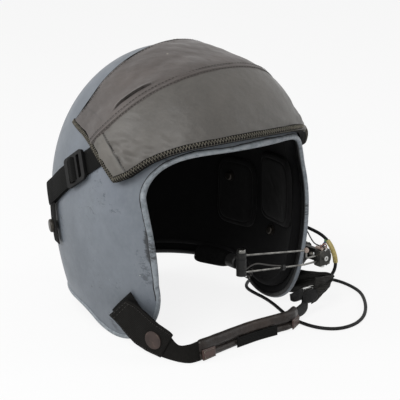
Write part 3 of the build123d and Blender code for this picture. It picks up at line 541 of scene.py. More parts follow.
def finish_mesh(name, points, faces, look, uvs=None, sharp=None, stored=None, closed=True, body="helmet"):
    """A mesh piece in metres, its normals outward, riding on a body."""
    mesh = bpy.data.meshes.new(name)
    mesh.from_pydata(place(points).reshape(-1, 3).tolist(), [], faces)
    if uvs is not None:
        layer = mesh.uv_layers.new(name="flat")
        corners = np.empty(len(mesh.loops), int)
        mesh.loops.foreach_get("vertex_index", corners)
        layer.data.foreach_set("uv", (np.reshape(uvs, (-1, 2))[corners] / 1000).ravel())
    for key, values in (stored or {}).items():
        layer = mesh.attributes.new(key, "FLOAT", "POINT")
        layer.data.foreach_set("value", np.asarray(values, np.float32).ravel())
    work = bmesh.new()
    work.from_mesh(mesh)
    bmesh.ops.remove_doubles(work, verts=work.verts, dist=MERGE)
    bmesh.ops.dissolve_degenerate(work, edges=work.edges, dist=NO_AREA)
    if closed:
        bmesh.ops.recalc_face_normals(work, faces=work.faces)
    work.to_mesh(mesh)
    work.free()
    mesh.polygons.foreach_set("use_smooth", [True] * len(mesh.polygons))
    if sharp is not None:
        mesh.set_sharp_from_angle(angle=math.radians(sharp))
    mesh.materials.append(look)
    made = add_object(name, mesh)
    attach(made, body)
    return made


def grid_faces(rows, columns, loop_rows=False, loop_columns=False, first=0, flip=False):
    index = first + np.arange(rows * columns).reshape(rows, columns)
    if loop_rows:
        index = np.vstack([index, index[:1]])
    if loop_columns:
        index = np.hstack([index, index[:, :1]])
    faces = np.stack([index[:-1, :-1], index[1:, :-1], index[1:, 1:], index[:-1, 1:]], -1).reshape(-1, 4)
    return (faces[:, ::-1] if flip else faces).tolist()


def tube_faces(rows, columns):
    """The skin of a closed section's rows, with both ends."""
    ends = [list(range(columns)), list(range((rows - 1) * columns, rows * columns))]
    return grid_faces(rows, columns, loop_columns=True) + ends


def from_ends(count):
    """Each number's distance from the nearer end of a row."""
    return np.minimum(np.arange(count), np.arange(count)[::-1])


def between(first, last, shares):
    """A grid between two lines, at shares of the way from the first."""
    shares = shares[:, None]
    return first[:, None] * (1 - shares) + last[:, None] * shares


def sections(*corners):
    """One closed section per station, from corners whose two numbers may change along the line."""
    return np.stack([pairs(*corner) for corner in corners], 1)


def sweep(name, path, section, look, closed=False, side=1, sharp=SHARP, stored=None):
    """A closed section of (inward, outward) places along a line on the form, one for all or one per station."""
    _, outward, inward = directions(path, closed)
    section = np.asarray(section, float)
    reach = path[:, None] + inward[:, None] * side * section[..., :1]
    points = on_form(reach) + outward[:, None] * section[..., 1:]
    rows, columns = points.shape[:2]
    faces = grid_faces(rows, columns, True, True) if closed else tube_faces(rows, columns)
    uvs = pairs(run_along(path)[:, None], np.arange(columns) * RIB)
    return finish_mesh(name, points, faces, look, uvs, sharp, stored)


def slab(name, middle, thick, look, normal, uvs, stored=None):
    """A closed sheet of some thickness round a middle surface, with softened rims."""
    rows, columns = middle.shape[:2]
    ease = [RIM_SHARE + (1 - RIM_SHARE) * math.sin(math.pi / 2 * number / RIM_ROWS) for number in range(RIM_ROWS)]
    rim_gap = np.minimum.outer(from_ends(rows), from_ends(columns))
    half = (thick / 2 * np.array(ease + [1.0])[np.minimum(rim_gap, RIM_ROWS)])[..., None]
    points = np.stack([middle + normal * half, middle - normal * half])
    size = rows * columns
    faces = grid_faces(rows, columns) + grid_faces(rows, columns, first=size, flip=True)
    index = np.arange(size).reshape(rows, columns)
    rim = np.concatenate([index[0, :-1], index[:-1, -1], index[-1, :0:-1], index[:0:-1, 0]])
    following = np.roll(rim, -1)
    faces += np.stack([rim, following, following + size, rim + size], -1).tolist()
    stored = {key: np.stack([values, values]) for key, values in (stored or {}).items()}
    return finish_mesh(name, points, faces, look, np.stack([uvs, uvs]), SHARP, stored)


def band(name, stations, thick, look, count, across, clear=None, shift=0.0, bulge=0.0, folds=0.0, pleats=0.0):
    """A strap through stations of an upper and a lower edge point, and its middle surface with that one's normals."""
    stations = np.asarray(stations, float)
    upper, lower = through(stations[:, 0], count), through(stations[:, 1], count)
    share = np.linspace(0, 1, across)
    middle = between(upper, lower, share)
    normal = unit(np.cross(np.gradient(middle, axis=0), np.gradient(middle, axis=1)))
    if np.mean(np.sum(normal * (middle - CENTRE), -1)) < 0:
        normal = -normal
    arch = np.sin(np.pi * share[:, None])
    middle = middle + normal * (shift + bulge * arch + folds * wavy(middle, FOLD_SIZE, FOLD_SEED, 2)[..., None])
    sway = PLEAT_SWAY * np.sin(np.linspace(0, PLEAT_RUN, count))[:, None, None]
    middle = middle + normal * (pleats * np.sin(PLEAT_TURNS * np.pi * share[:, None] + sway) * arch)
    if clear is not None:
        needed = clear + thick / 2
        inside = measure(middle, needed) < 1
        middle = np.where(inside[..., None], on_form(middle, needed), middle)
    width = np.linalg.norm(upper - lower, axis=1)
    uvs = pairs(run_along(middle[:, across // 2])[:, None], width[:, None] * share)
    return slab(name, middle, thick, look, normal, uvs), middle, normal


def threads(name, starts, ends, outward, radius, look, slot, arch=0.35):
    """Sewing stitches: short rounded threads, each a little arched off the surface."""
    rings, sides = 6, 6
    share = np.linspace(0, 1, rings)
    fat = np.sin(np.pi * (THREAD_END + (1 - THREAD_END * 2) * share)) ** 0.5
    turn = 2 * np.pi * np.arange(sides) / sides
    along = unit(ends - starts)
    side = unit(np.cross(along, outward))
    up = np.cross(side, along)
    centre = starts[:, None] + (ends - starts)[:, None] * share[:, None]
    centre = centre + outward[:, None] * (arch * np.sin(np.pi * share))[:, None]
    ring = np.cos(turn)[:, None] * side[:, None, None] + np.sin(turn)[:, None] * up[:, None, None]
    points = centre[:, :, None] + ring * (radius * fat)[:, None, None]
    one = np.array(grid_faces(rings, sides, loop_columns=True))
    size = rings * sides
    bases = range(0, len(starts) * size, size)
    faces = (one + np.array(bases)[:, None, None]).reshape(-1, 4).tolist()
    for base in bases:
        faces += [list(range(base, base + sides))[::-1], list(range(base + size - sides, base + size))]
    return finish_mesh(name, points, faces, look)


def stitch_row(path, outs, inset, pitch=3.6):
    """Starts, ends and outward directions of a stitch row beside a line on the form."""
    points = resample(np.column_stack([path, np.broadcast_to(outs, len(path))]), step=pitch / 6)
    path, outs = points[:, :3], points[:, 3:]
    _, outward, inward = directions(path)
    line = on_form(path + inward * inset) + outward * outs
    run = run_along(line)
    marks = np.arange(pitch / 2, run[-1] - pitch, pitch)
    starts, ends = at_lengths(marks, run, line), at_lengths(marks + pitch - STITCH_GAP, run, line)
    return starts, ends, unit(at_lengths(marks, run, outward))


def cushion(name, spot, half_u, half_v, base, thick, square, seed, columns=72):
    """A crowned pad on an inner wall; spot(u, v, out) gives its surface, base is its back's distance from the form."""
    shares = np.concatenate([np.linspace(0, 0.8, 14), np.linspace(0.83, 1, 12)])[:, None]
    turn = 2 * np.pi * np.arange(columns) / columns
    u, v = half_u * shares * squared(np.cos(turn), square), half_v * shares * squared(np.sin(turn), square)
    flat = pairs(u, v)
    height = thick * (1 - shares ** 7) ** 0.45 - PAD_SEAM_DEPTH * thick * hill(shares - PAD_SEAM, PAD_SEAM_WIDTH)
    folds = wavy(flat, 26.0, seed) * 0.05 * thick + wavy(flat, 9.0, seed + 1) * 0.02 * thick
    height = np.clip(height + folds * (1 - shares ** 3), 0, None)
    points = np.vstack([spot(u, v, base - height), spot(u[::-1] * PAD_BACK_SIZE, v[::-1] * PAD_BACK_SIZE, base)])
    return finish_mesh(name, points, grid_faces(len(points), columns, loop_columns=True), PAD_CLOTH)


def cord_curve(name, route, radius, look, resolution=12):
    curve = bpy.data.curves.new(name, "CURVE")
    curve.dimensions = "3D"
    spline = curve.splines.new("NURBS")
    spline.points.add(len(route) - 1)
    for point, spot in zip(spline.points, place(route)):
        point.co = (*spot, 1.0)
    spline.order_u = 3
    spline.use_endpoint_u = True
    curve.resolution_u = resolution
    curve.bevel_depth = radius / 1000
    curve.bevel_resolution = 6
    curve.use_fill_caps = True
    curve.materials.append(look)
    return add_object(name, curve)


def circle(radius, sides):
    turn = 2 * np.pi * np.arange(sides) / sides
    return pairs(radius * np.cos(turn), radius * np.sin(turn))


def around(path, radius, sides, up=(0.0, 0.0, 1.0)):
    """Rings of points round any line in space."""
    ring = circle(radius, sides)
    along = unit(np.gradient(path, axis=0))
    side = unit(np.cross(along, up))
    rise = np.cross(side, along)
    return path[:, None] + side[:, None] * ring[:, :1] + rise[:, None] * ring[:, 1:]


# Camera

forward = Vector((0.5732, 0.7759, -0.2634)).normalized()
right = Vector((0.8043, -0.5942, 0.0))
upward = right.cross(forward)
roll = math.radians(0.74)
camera_right = right * math.cos(roll) - upward * math.sin(roll)
camera_up = right * math.sin(roll) + upward * math.cos(roll)
camera_data = bpy.data.cameras.new("photo_camera")
camera_data.lens = 113.93
camera_data.sensor_width = 36.0
camera_data.shift_x = 0.056
camera_data.shift_y = -0.0145
camera_data.clip_start = 0.05
camera = add_object("photo_camera", camera_data)
turned = Matrix((camera_right, camera_up, -forward)).transposed().to_4x4()
turned.translation = Vector((-0.7523, -1.0184 - BACK_SHIFT / 1000, 0.4705))
camera.matrix_world = turned
bpy.context.scene.camera = camera


# Cords

CORD_ROUTE = [
    (121.9, -26.0, 81.0), (127.5, -42.0, 79.5), (133.0, -60.0, 76.0), (136.0, -77.0, 71.5), (136.6, -87.5, 63.0),
    (137.0, -93.5, 52.0), (137.4, -94.0, 40.5), (137.8, -87.0, 29.0), (138.2, -76.0, 18.5), (138.6, -62.5, 9.0),
    (139.2, -48.5, 3.6), (143.4, -34.5, 2.0), (154.4, -25.5, 2.0), (168.4, -23.5, 2.0), (180.4, -30.5, 2.0),
    (186.6, -43.5, 2.0), (187.0, -64.0, 2.0), (181.0, -88.0, 2.0), (166.0, -110.0, 2.0), (147.0, -131.0, 2.0),
    (127.0, -147.0, 2.0), (105.0, -156.0, 2.0), (84.0, -154.0, 2.0), (71.0, -139.0, 2.0), (67.0, -116.0, 2.0),
    (71.0, -90.0, 2.0), (81.0, -62.0, 2.0), (87.0, -38.0, 2.0), (88.5, -18.0, 2.0), (92.0, -1.0, 2.0),
    (102.0, 11.0, 2.0), (116.0, 19.0, 2.6), (130.0, 27.0, 5.0), (142.0, 36.0, 7.4), (151.0, 45.0, 7.4),
]
MIC_LEAD_ROUTE = [
    (0.4, -110.0, 71.3), (8.0, -109.8, 74.6), (17.0, -109.2, 74.2), (27.0, -108.2, 70.6), (38.0, -107.2, 66.8),
    (50.0, -106.2, 63.9),
]
BOOM_LEAD_ROUTE = [
    (111.0, -98.0, 70.6), (111.0, -91.5, 70.6), (114.6, -83.0, 70.8), (118.6, -74.0, 73.2), (121.6, -66.0, 77.4),
    (123.6, -58.0, 82.2), (123.6, -51.6, 86.4), (121.4, -47.6, 89.4), (117.0, -45.6, 90.6),
]
comm_cord = cord_curve("comm_cord_line", CORD_ROUTE, 1.8, CORD_RUBBER, 16)
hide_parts("comm_cord")
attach(comm_cord, "helmet")
mic_lead = cord_curve("mic_lead_line", MIC_LEAD_ROUTE, 0.8, LEAD_BLACK)
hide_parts("mic_lead")
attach(mic_lead, "mic_carrier")


def curve_points(curve_object):
    """The points that a curve's own line follows, in millimetres of part.py."""
    depth = curve_object.data.bevel_depth
    curve_object.data.bevel_depth = 0.0
    mesh = bpy.data.meshes.new_from_object(curve_object)
    points = np.array([vertex.co for vertex in mesh.vertices])
    bpy.data.meshes.remove(mesh)
    curve_object.data.bevel_depth = depth
    return points * 1000 + (0.0, BACK_SHIFT, 0.0)


LEAD_RADIUS = 0.7
lead_guide = cord_curve("lead_guide", BOOM_LEAD_ROUTE, LEAD_RADIUS, LEAD_BROWN)
lead_line = curve_points(lead_guide)
bpy.data.objects.remove(lead_guide)


def boom_lead_tube():
    """A mesh tube along the lead's line between the boom and the helmet."""
    points = around(lead_line, LEAD_RADIUS, 10)
    mesh = bpy.data.meshes.new("boom_lead_line")
    mesh.from_pydata(place(points).reshape(-1, 3).tolist(), [], tube_faces(*points.shape[:2]))
    mesh.polygons.foreach_set("use_smooth", [True] * len(mesh.polygons))
    mesh.materials.append(LEAD_BLACK)
    made = add_object("boom_lead_line", mesh)
    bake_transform(made)
    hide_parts("boom_lead")


boom_lead_tube()


# Shell, lining and edge

SHELL_INSET = 1.0
LINER_OUT, LINER_INSET, LINER_WALL = -3.4, 14.5, 8.9
PAD_BACK, LOW_PAD_BACK = -12.7, -4.8
SCUFF_HEIGHT, SCUFF_SPREAD = 108, 26.0
WEAR_EDGE, WEAR_FADE = 5, 10.0
GROOVE_PLACE, GROOVE_SWAY, SHADE_HALF, SHADE_SWAY = 4.7, 0.8, 0.55, 0.35
SHADE_LOW, SHADE_REAR = 52, -60
BITE_FROM, BITE_DEPTH = 0.35, 0.9


def form_grid(name, out, inset, look, columns, side_rows, crown_rows, thick):
    """The form's surface cut back from the shell's edge, with thickness inward."""
    rows = [(height, shrinks(height, out)) for height in np.linspace(0.0, EQUATOR, side_rows, endpoint=False)]
    for angle in np.linspace(0, math.pi / 2, crown_rows):
        rows.append((EQUATOR + (RISE + out) * math.sin(angle), math.cos(angle)))
    heights, shrink = np.array(rows).T[..., None]
    turn = 2 * np.pi * np.arange(columns) / columns
    across, ahead = np.cos(turn), np.sin(turn)
    power = 2 / powers(ahead)
    shape_x, shape_y = squared(across, power) * (HALF + out), squared(ahead, power) * reaches(ahead, out)
    points = np.stack(np.broadcast_arrays(shape_x * shrink, shape_y * shrink, heights), -1).reshape(-1, 3)
    distance = edge_distance(points[:, 1:])
    faces = [face for face in grid_faces(len(rows), columns, loop_columns=True) if min(distance[face]) > inset]
    used = sorted({corner for face in faces for corner in face})
    renumber = {old: new for new, old in enumerate(used)}
    faces = [[renumber[corner] for corner in face] for face in faces]
    points = points[used]
    scuffed = smooth_step(-points[:, 1], 55, 90) * hill(points[:, 2] - SCUFF_HEIGHT, SCUFF_SPREAD)
    wear = np.exp(-np.clip(distance[used] - WEAR_EDGE, 0, None) / WEAR_FADE) * (0.2 + 0.85 * scuffed)
    first = points[faces[0]]
    if np.dot(np.cross(first[1] - first[0], first[2] - first[0]), first[0] - CENTRE) < 0:
        faces = [face[::-1] for face in faces]
    made = finish_mesh(name, points, faces, look, stored={"wear": wear}, closed=False)
    wall = made.modifiers.new("wall", "SOLIDIFY")
    wall.thickness = thick / 1000
    wall.offset = -1.0
    made.data.materials.append(LINING)
    wall.material_offset = wall.material_offset_rim = 1
    return made


shell = form_grid("shell_skin", 0.0, SHELL_INSET, PAINT, 400, 72, 88, SHELL_WALL)
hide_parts("outer_shell")
liner = form_grid("liner_skin", LINER_OUT, LINER_INSET, LINING, 180, 34, 40, LINER_WALL)
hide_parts("impact_liner")

edge_path = over_crown(PROFILE, 2.0, 4)[:-1]
groove = GROOVE_PLACE + GROOVE_SWAY * wavy(edge_path, 60.0, 3)
# Share of the groove's place, outward place, and inward place beyond that share
trim_template = np.array([
    (1.0, 0.1, 0), (1.0, 0.75, -0.2), (1.0, 1.15, -0.8), (1.0, TRIM_WALL, -1.8), (0.5, TRIM_WALL + 0.1, 0),
    (0, 1.3, 1.6), (0, 1.0, 0.75), (0, 0.35, 0.15), (0, -0.7, -0.05), (0, -2.2, 0.0), (0, -3.3, 0.3), (0, -4.05, 1.0),
    (0, -4.3, 2.0), (1.0, -4.3, -1.0), (1.0, -4.1, -0.3), (1.0, -3.6, 0), (1.0, -3.05, 0), (0, -3.03, 1.7),
    (0, -1.5, 1.6), (0, 0.03, 1.7),
])
trim_section = pairs(groove[:, None] * trim_template[:, 0] + trim_template[:, 2], trim_template[:, 1])
bite = np.clip(wavy(edge_path, 7.0, 8), BITE_FROM, None) - BITE_FROM
front_part = smooth_step(-edge_path[:, 1], 60, 84) * smooth_step(150 - np.abs(edge_path[:, 2] - 105), 70, 110)
trim_section[:, 5:9, 0] += (bite * BITE_DEPTH * front_part)[:, None]
scuffs = 0.2 + 0.5 * hill(edge_path[:, 2] - SCUFF_HEIGHT, SCUFF_SPREAD) * front_part
trim_stored = {
    "wear": np.repeat(scuffs, len(trim_template)),
    "inside": np.tile(trim_template[:, 1] < -3.0, len(edge_path)),
}
trim = sweep("edge_band", edge_path, trim_section, EDGE_PAINT, True, stored=trim_stored)
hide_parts("edge_trim")
# A near-black strip laid along the groove between the edging and the shell, on the front part only: painted shade of
# that groove.
groove_half = SHADE_HALF + SHADE_SWAY * np.clip(wavy(edge_path, 15.0, 5), 0, 1)
groove_section = sections(
    (groove - groove_half, 0.05), (groove - groove_half * 0.4, 0.42), (groove + groove_half * 0.8, 0.40),
    (groove + groove_half * 1.5, 0.05), (groove, -0.3),
)
from_rear = (np.arange(len(edge_path)) + len(edge_path) // 2) % len(edge_path)
seen_groove = from_rear[(edge_path[from_rear, 2] > SHADE_LOW) & (edge_path[from_rear, 1] < SHADE_REAR)]
sweep("edge_groove_shade", edge_path[seen_groove], groove_section[seen_groove], GROOVE_SHADE)
liner_roll = [
    (17.5, -3.6), (14.2, -3.5), (12.8, -4.2), (11.9, -5.8), (11.7, -7.8), (12.1, -9.8), (13.1, -11.5), (14.6, -12.6),
    (16.2, -12.9), (17.5, -12.5),
]
sweep("liner_edge_roll", edge_path, liner_roll, LINING, True)


# Pads on the inner walls

def side_spot(centre_y, centre_z, hand):
    return lambda u, v, out: lift(pairs(centre_y + u, centre_z + v), out) * (hand, 1, 1)


# Kind, centre, half sizes, distance of the back from the form, thickness, squareness, seed
SIDE_PADS = [
    ("ear", (25, 105), (28.6, 37.6), PAD_BACK, 5.4, 0.45, 3),
    ("temple", (-43, 122), (30.5, 37.5), PAD_BACK, 6.0, 0.4, 7),
    ("neck", (53, 27), (22.6, 10.8), LOW_PAD_BACK, 9.6, 0.5, 11),
]
for hand, word in HANDS:
    for kind, centre, halves, back, thick, square, seed in SIDE_PADS:
        pad = cushion(kind + "_cushion_" + word, side_spot(*centre, hand), *halves, back, thick, square, seed + hand)
        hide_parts(kind + "_pad_" + word)
crown_pad = cushion("crown_cushion", lambda u, v, out: crown_z(u, v - 2, out), 61.0, 80.0, PAD_BACK, 8.6, 0.5, 21, 96)
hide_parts("crown_pad")
nape_pad = cushion("nape_cushion", lambda u, v, out: rear_y(u, v + 26, out), 46.0, 25.8, LOW_PAD_BACK, 16.5, 0.35, 31,
                   96)
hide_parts("nape_pad")


# Leather cover of the visor

REAR_LINE = [(35.0, 206.5), (28.6, 216.0), (21.5, 232.0), (18.5, 248.0), (11.5, 266.0), (3.5, 278.0), (-5.0, 290.0)]
SEAM_LINE = [(-24.0, 207.4), (-37.0, 222.0), (-54.0, 242.0), (-65.5, 253.6), (-70.0, 259.3), (-71.0, 268.0)]
SEAM_END = [(-24.0, 207.4), (-17.5, 201.6), (-10.5, 195.5)]
SIDE_SEAM = [(-68.0, 174.6), (-53.7, 187.6), (-41.9, 196.2), (-24.0, 207.4)]
LOW_LINE = [(-84.0, 187.5), (-94.0, 193.0), (-106.0, 199.0), (-126.0, 205.6), (-150.0, 214.0)]
SIDE_EDGE = [(35.0, 206.5), (9.0, 200.5), (-9.0, 194.0), (-29.0, 183.0), (-53.0, 167.0), (-68.0, 174.6)]
FRONT_FOOT = [(-68.0, 174.6), (-84.0, 187.5)]
FRONT_OUT, CROWN_OUT, LEATHER = 9.9, 4.5, 2.2
COVER_COLUMNS, CROWN_ROWS, FRONT_ROWS = 281, 111, 71
COVER_FRONT_Y = -68.0
CLIMB = (2, 34)  # gaps from the seam between which the crown part comes down from the front part's height
TUCK_RIDGE, TUCK_SINK = (1.7, 2.8), (1.6, 2.0)  # height and width
PULL_HEIGHT, PULL_SIDE, SLACK_HEIGHT = 196, 92, 203
THREAD_LIFT = 0.2
SEAM_THREAD, REAR_THREAD, ZIGZAG_THREAD, WRAP_THREAD = 0.3, 0.26, 0.23, 0.25
BINDING_WIDTH, ZIGZAG_STEP, ZIGZAG_INSETS = 5.6, 1.35, (0.7, 4.9)
PIPING_RADIUS = 1.35
RIM_SMOOTH = 6


def both_sides(places, step):
    """A side view line's points on both sides of the form, first the left one's."""
    left = lift(resample(places, step=step))
    return np.vstack([left, left * MIRROR])


def coons(start_row, end_row, left_side, right_side):
    """A grid between four lines that meet at their ends."""
    v = np.linspace(0, 1, len(left_side))[:, None, None]
    u = np.linspace(0, 1, len(start_row))[None, :, None]
    between_rows = start_row[None] * (1 - v) + end_row[None] * v
    between_sides = left_side[:, None] * (1 - u) + right_side[:, None] * u
    start_corners = start_row[0] * (1 - u) * (1 - v) + start_row[-1] * u * (1 - v)
    return between_rows + between_sides - (start_corners + end_row[0] * (1 - u) * v + end_row[-1] * u * v)


def nearest(points, line):
    """Distance from each point to a line's points, and the number of the nearest."""
    flat = points.reshape(-1, 3)
    best, number = np.full(len(flat), 1e9), np.zeros(len(flat), int)
    for start in range(0, len(flat), 4000):
        gaps = np.linalg.norm(flat[start:start + 4000, None] - line[None], axis=2)
        number[start:start + 4000] = np.argmin(gaps, 1)
        best[start:start + 4000] = np.min(gaps, 1)
    return best.reshape(points.shape[:-1]), number.reshape(points.shape[:-1])


full_seam = over_crown(SIDE_SEAM + SEAM_LINE[1:], 1.0, 6)
seam_row = resample(full_seam, count=COVER_COLUMNS)
rear_row, low_row = (resample(over_crown(line, 1.0), count=COVER_COLUMNS) for line in (REAR_LINE, LOW_LINE))
side_left = lift(resample(SIDE_EDGE, count=CROWN_ROWS))
foot_left = lift(resample(FRONT_FOOT, count=FRONT_ROWS))
crown_grid = on_form(coons(rear_row, seam_row, side_left, side_left * MIRROR))
front_grid = on_form(coons(seam_row, low_row, foot_left, foot_left * MIRROR))
tuck_line = both_sides([(-25.5, 222.5), (-29.5, 231.0), (-37.0, 239.0), (-45.0, 246.5), (-54.0, 252.5)], 1.0)
tuck_count = len(tuck_line) // 2
fold_line = both_sides([(26.0, 224.0), (4.0, 221.0), (-18.0, 216.0)], 1.0)
side_seams = both_sides(SIDE_SEAM, 0.5)


def cover_height(points):
    """Outer face of the crown part, which climbs to the front part near the seam."""
    seam_gap, _ = nearest(points, full_seam[::2])
    seam_gap = np.where(points[..., 1] < COVER_FRONT_Y, 0.0, seam_gap)
    return CROWN_OUT + (FRONT_OUT - CROWN_OUT) * (1 - smooth_step(seam_gap, *CLIMB))


def below_seam_end(points):
    """1 on the narrow strip between the side seam and the side edge, in front of the main seam's end."""
    (start_y, start_z), (end_y, end_z) = SEAM_END[0], SEAM_END[-1]
    run_y, run_z = end_y - start_y, end_z - start_z
    ahead = (points[..., 1] - start_y) * run_z - (points[..., 2] - start_z) * run_y
    return smooth_step(ahead / math.hypot(run_y, run_z), 0.0, 2.5)


def crown_relief(points):
    """The crown part's middle surface over the form, with a tuck on each side."""
    tuck_gap, number = nearest(points, tuck_line)
    spots, place_in_tuck = tuck_line[number], number % tuck_count
    below = points[..., 1] < spots[..., 1] - 0.35 * (points[..., 2] - spots[..., 2])
    fade = smooth_step(np.minimum(place_in_tuck, tuck_count - place_in_tuck), 0, 14)
    (ridge, ridge_width), (sink, sink_width) = TUCK_RIDGE, TUCK_SINK
    ridge = ridge * hill(tuck_gap, ridge_width) * ~below - sink * hill(tuck_gap, sink_width) * below
    height = cover_height(points) - LEATHER / 2 + ridge * fade
    height = height + 0.55 * wavy(points, 55.0, 41) + 0.22 * wavy(points, 17.0, 42)
    return height + 0.35 * below_seam_end(points) * wavy(points, 14.0, 43, 2)


def front_relief(points):
    """The front part's middle surface over the form, with pulls at its lower corners and slack on the left."""
    x, z = points[..., 0], points[..., 2]
    pulls = hill(z - PULL_HEIGHT, 16.0) * hill(np.abs(x) - PULL_SIDE, 26.0)
    slack = hill(z - SLACK_HEIGHT, 12.0) * smooth_step(x, -30, 20)
    height = FRONT_OUT - LEATHER / 2 + 0.35 * wavy(points, 70.0, 51) + 0.12 * wavy(points, 16.0, 52)
    height = height + 1.1 * pulls * wavy(points * (1.0, 1.0, 2.0), 24.0, 53, 2)
    height = height + 1.25 * slack * wavy(points * (0.8, 0.8, 2.2), 26.0, 55, 2)
    height = height + 0.75 * smooth_step(x, 5, 60) * wavy(points * (0.45, 0.8, 1.6), 32.0, 57, 2)
    return height - 0.4 * hill(nearest(points, full_seam[::2])[0], 3.0)


def leather_panel(name, grid, relief, look, node):
    outward = normals(grid)
    middle = grid + outward * relief(grid)[..., None]
    along, down = run_along(middle[len(middle) // 2]), run_along(middle[:, middle.shape[1] // 2])
    # Painted shade mask: high along the tucks, the fold line and the side seams, where the leather is darkened to
    # stand for their shade.
    tuck_gap, number = nearest(grid, tuck_line)
    crease = 0.85 * hill(tuck_gap, 0.9) * smooth_step(from_ends(tuck_count)[number % tuck_count], 0, 10)
    crease = np.maximum(crease, 0.5 * hill(nearest(grid, fold_line)[0], 0.8))
    crease = np.maximum(crease, 0.9 * hill(nearest(grid, side_seams)[0], 0.7))
    stored = {"crease": crease, "strip": below_seam_end(grid) * (look == CROWN_LEATHER)}
    made = slab(name, middle, LEATHER, look, outward, pairs(along, down[:, None]), stored)
    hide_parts(node)


leather_panel("cover_crown_leather", crown_grid, crown_relief, CROWN_LEATHER, "cover_crown_panel")
leather_panel("cover_front_leather", front_grid, front_relief, FRONT_LEATHER, "cover_front_panel")

seam_path = soften(over_crown(SEAM_END[::-1] + SEAM_LINE[1:], 1.5, 14), 3)
seam_top = cover_height(seam_path) - FRONT_OUT
welt_section = np.array([
    (-3.6, 8.3), (-3.2, 9.6), (-2.4, 10.1), (-1.5, 10.0), (-0.9, 9.6), (-0.2, 10.5), (0.6, 10.7), (1.4, 10.5),
    (2.0, 9.8), (2.8, 10.2), (3.6, 9.9), (4.0, 8.8), (3.6, 7.2), (-3.2, 6.9),
])
welt = sweep("cover_welt", seam_path, welt_section + pairs(0, seam_top)[:, None], CROWN_LEATHER)
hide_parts("cover_seam_welt")

side_seam = lift(resample(SIDE_SEAM, step=1.0))
side_top = cover_height(side_seam) + 0.3
seam_rows = [stitch_row(seam_path, 10.25 + seam_top, inset) for inset in (-2.7, 2.9)]
seam_rows += [stitch_row(side_seam * (hand, 1, 1), side_top, 1.6 * hand, pitch=3.0) for hand, _ in HANDS]
starts, ends, outward = (np.vstack(rows) for rows in zip(*seam_rows))
threads("cover_seam_stitches", starts, ends, outward, SEAM_THREAD, DARK_THREAD, "cover_leather")

rim_line = [(36.0, 206.0), (9.0, 199.5), (-9.0, 193.0), (-29.0, 182.0), (-53.5, 165.6), (-69.0, 172.8), (-84.5, 186.4)]
rim_line += LOW_LINE[1:]
rim_path = over_crown(rim_line, 1.0, 5)
rim_height = np.where(rim_path[:, 1] < -69, FRONT_OUT, cover_height(rim_path))
window = 2 * RIM_SMOOTH + 1
rim_top = np.convolve(np.pad(rim_height, RIM_SMOOTH, "edge"), np.full(window, 1 / window), "valid") + 1.0
rim_low = TRIM_WALL + 0.4
width = BINDING_WIDTH + 0.3 * wavy(rim_path, 30.0, 61)
binding_section = sections(
    (width, rim_top - 0.5), (width - 0.6, rim_top), (width * 0.55, rim_top + 0.15), (width * 0.2, rim_top),
    (width * 0.03, rim_top - 0.8), (0, (rim_top + rim_low) / 2), (width * 0.05, rim_low + 0.5),
    (width * 0.25, rim_low), (width - 0.8, rim_low), (width, rim_low + 0.6),
)
binding = sweep("cover_binding", rim_path, binding_section, BINDING, side=-1)
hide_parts("cover_edge_binding")

# Zigzag threads over the binding, and threads round its edge
rim_dense = resample(np.column_stack([rim_path, rim_top]), step=ZIGZAG_STEP)
_, rim_out, rim_in = directions(rim_dense[:, :3])
rim_in = -rim_in


def on_rim(inset, rise):
    return on_form(rim_dense[:, :3] + rim_in * inset) + rim_out * (rim_dense[:, 3:] + rise)


zigzag = on_rim(np.where(np.arange(len(rim_dense)) % 2 == 0, *ZIGZAG_INSETS)[:, None], 0.18)
threads("cover_zigzag", zigzag[:-1], zigzag[1:], rim_out[:-1], ZIGZAG_THREAD, THREAD, "cover_leather", arch=0.12)
threads("cover_edge_wraps", on_rim(0.5, -0.3)[::2], on_rim(-0.1, -2.6)[::2], -rim_in[::2], WRAP_THREAD, THREAD,
        "cover_leather", arch=0.1)

# Piping on the rear edge
rear_path = over_crown(REAR_LINE, 1.5)
piping = circle(PIPING_RADIUS, 10) + (0.2, CROWN_OUT - LEATHER / 2)
sweep("cover_piping", rear_path, piping, BINDING, sharp=None)
threads("cover_rear_stitches", *stitch_row(rear_path, CROWN_OUT + THREAD_LIFT, 3.4), REAR_THREAD, DARK_THREAD,
        "cover_leather")


# Straps and buckles at the sides

STRAP_ROOT, STRAP_END = np.array([-30.4, 193.7]), np.array([74.0, 126.0])
STRAP_STEP = 0.8
STRAP_OUT, BUCKLE_HUMP, END_LIFT = 1.35, 6.2, 1.6
BUCKLE_MIDDLE = 47.0
PATCH_OUT, PATCH_THICK = 2.6, 1.8


def form_band(name, path, width, out, thick, hand, node=None):
    """A webbing strap laid on the form along a side view line; out is its middle's distance from the form."""
    path = resample(path, step=STRAP_STEP)
    along = unit(np.gradient(path, axis=0))
    sideways = pairs(-along[:, 1], along[:, 0])
    shares = np.linspace(-0.5, 0.5, 13)
    surface = lift(path[:, None] + sideways[:, None] * (shares[:, None] * width))
    outward = normals(surface)
    middle = surface + outward * np.asarray(out(np.linspace(0, 1, len(path))))[:, None, None]
    uvs = pairs(np.arange(len(path))[:, None] * STRAP_STEP, shares * width)
    made = slab(name, middle * (hand, 1, 1), thick, WEBBING, outward * (hand, 1, 1), uvs)
    if node:
        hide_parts(node)


def strap_out(share):
    """The strap climbs over the lower middle bar of the buckle, and its end lifts off the shell."""
    distance = share * np.linalg.norm(STRAP_END - STRAP_ROOT)
    climb = smooth_step(distance, BUCKLE_MIDDLE - 2.4, BUCKLE_MIDDLE + 2.0)
    over = climb * (1 - smooth_step(distance, BUCKLE_MIDDLE + 6.3, BUCKLE_MIDDLE + 10.5))
    return STRAP_OUT + BUCKLE_HUMP * over + END_LIFT * smooth_step(distance, 100, 124)


def tail_out(share):
    return 3.4 + 0.8 * smooth_step(share, 0.0, 0.3) + 2.4 * smooth_step(share, 0.6, 1.0)


def rear_out(share):
    return 3.3 + 0.5 * np.sin(share * np.pi)


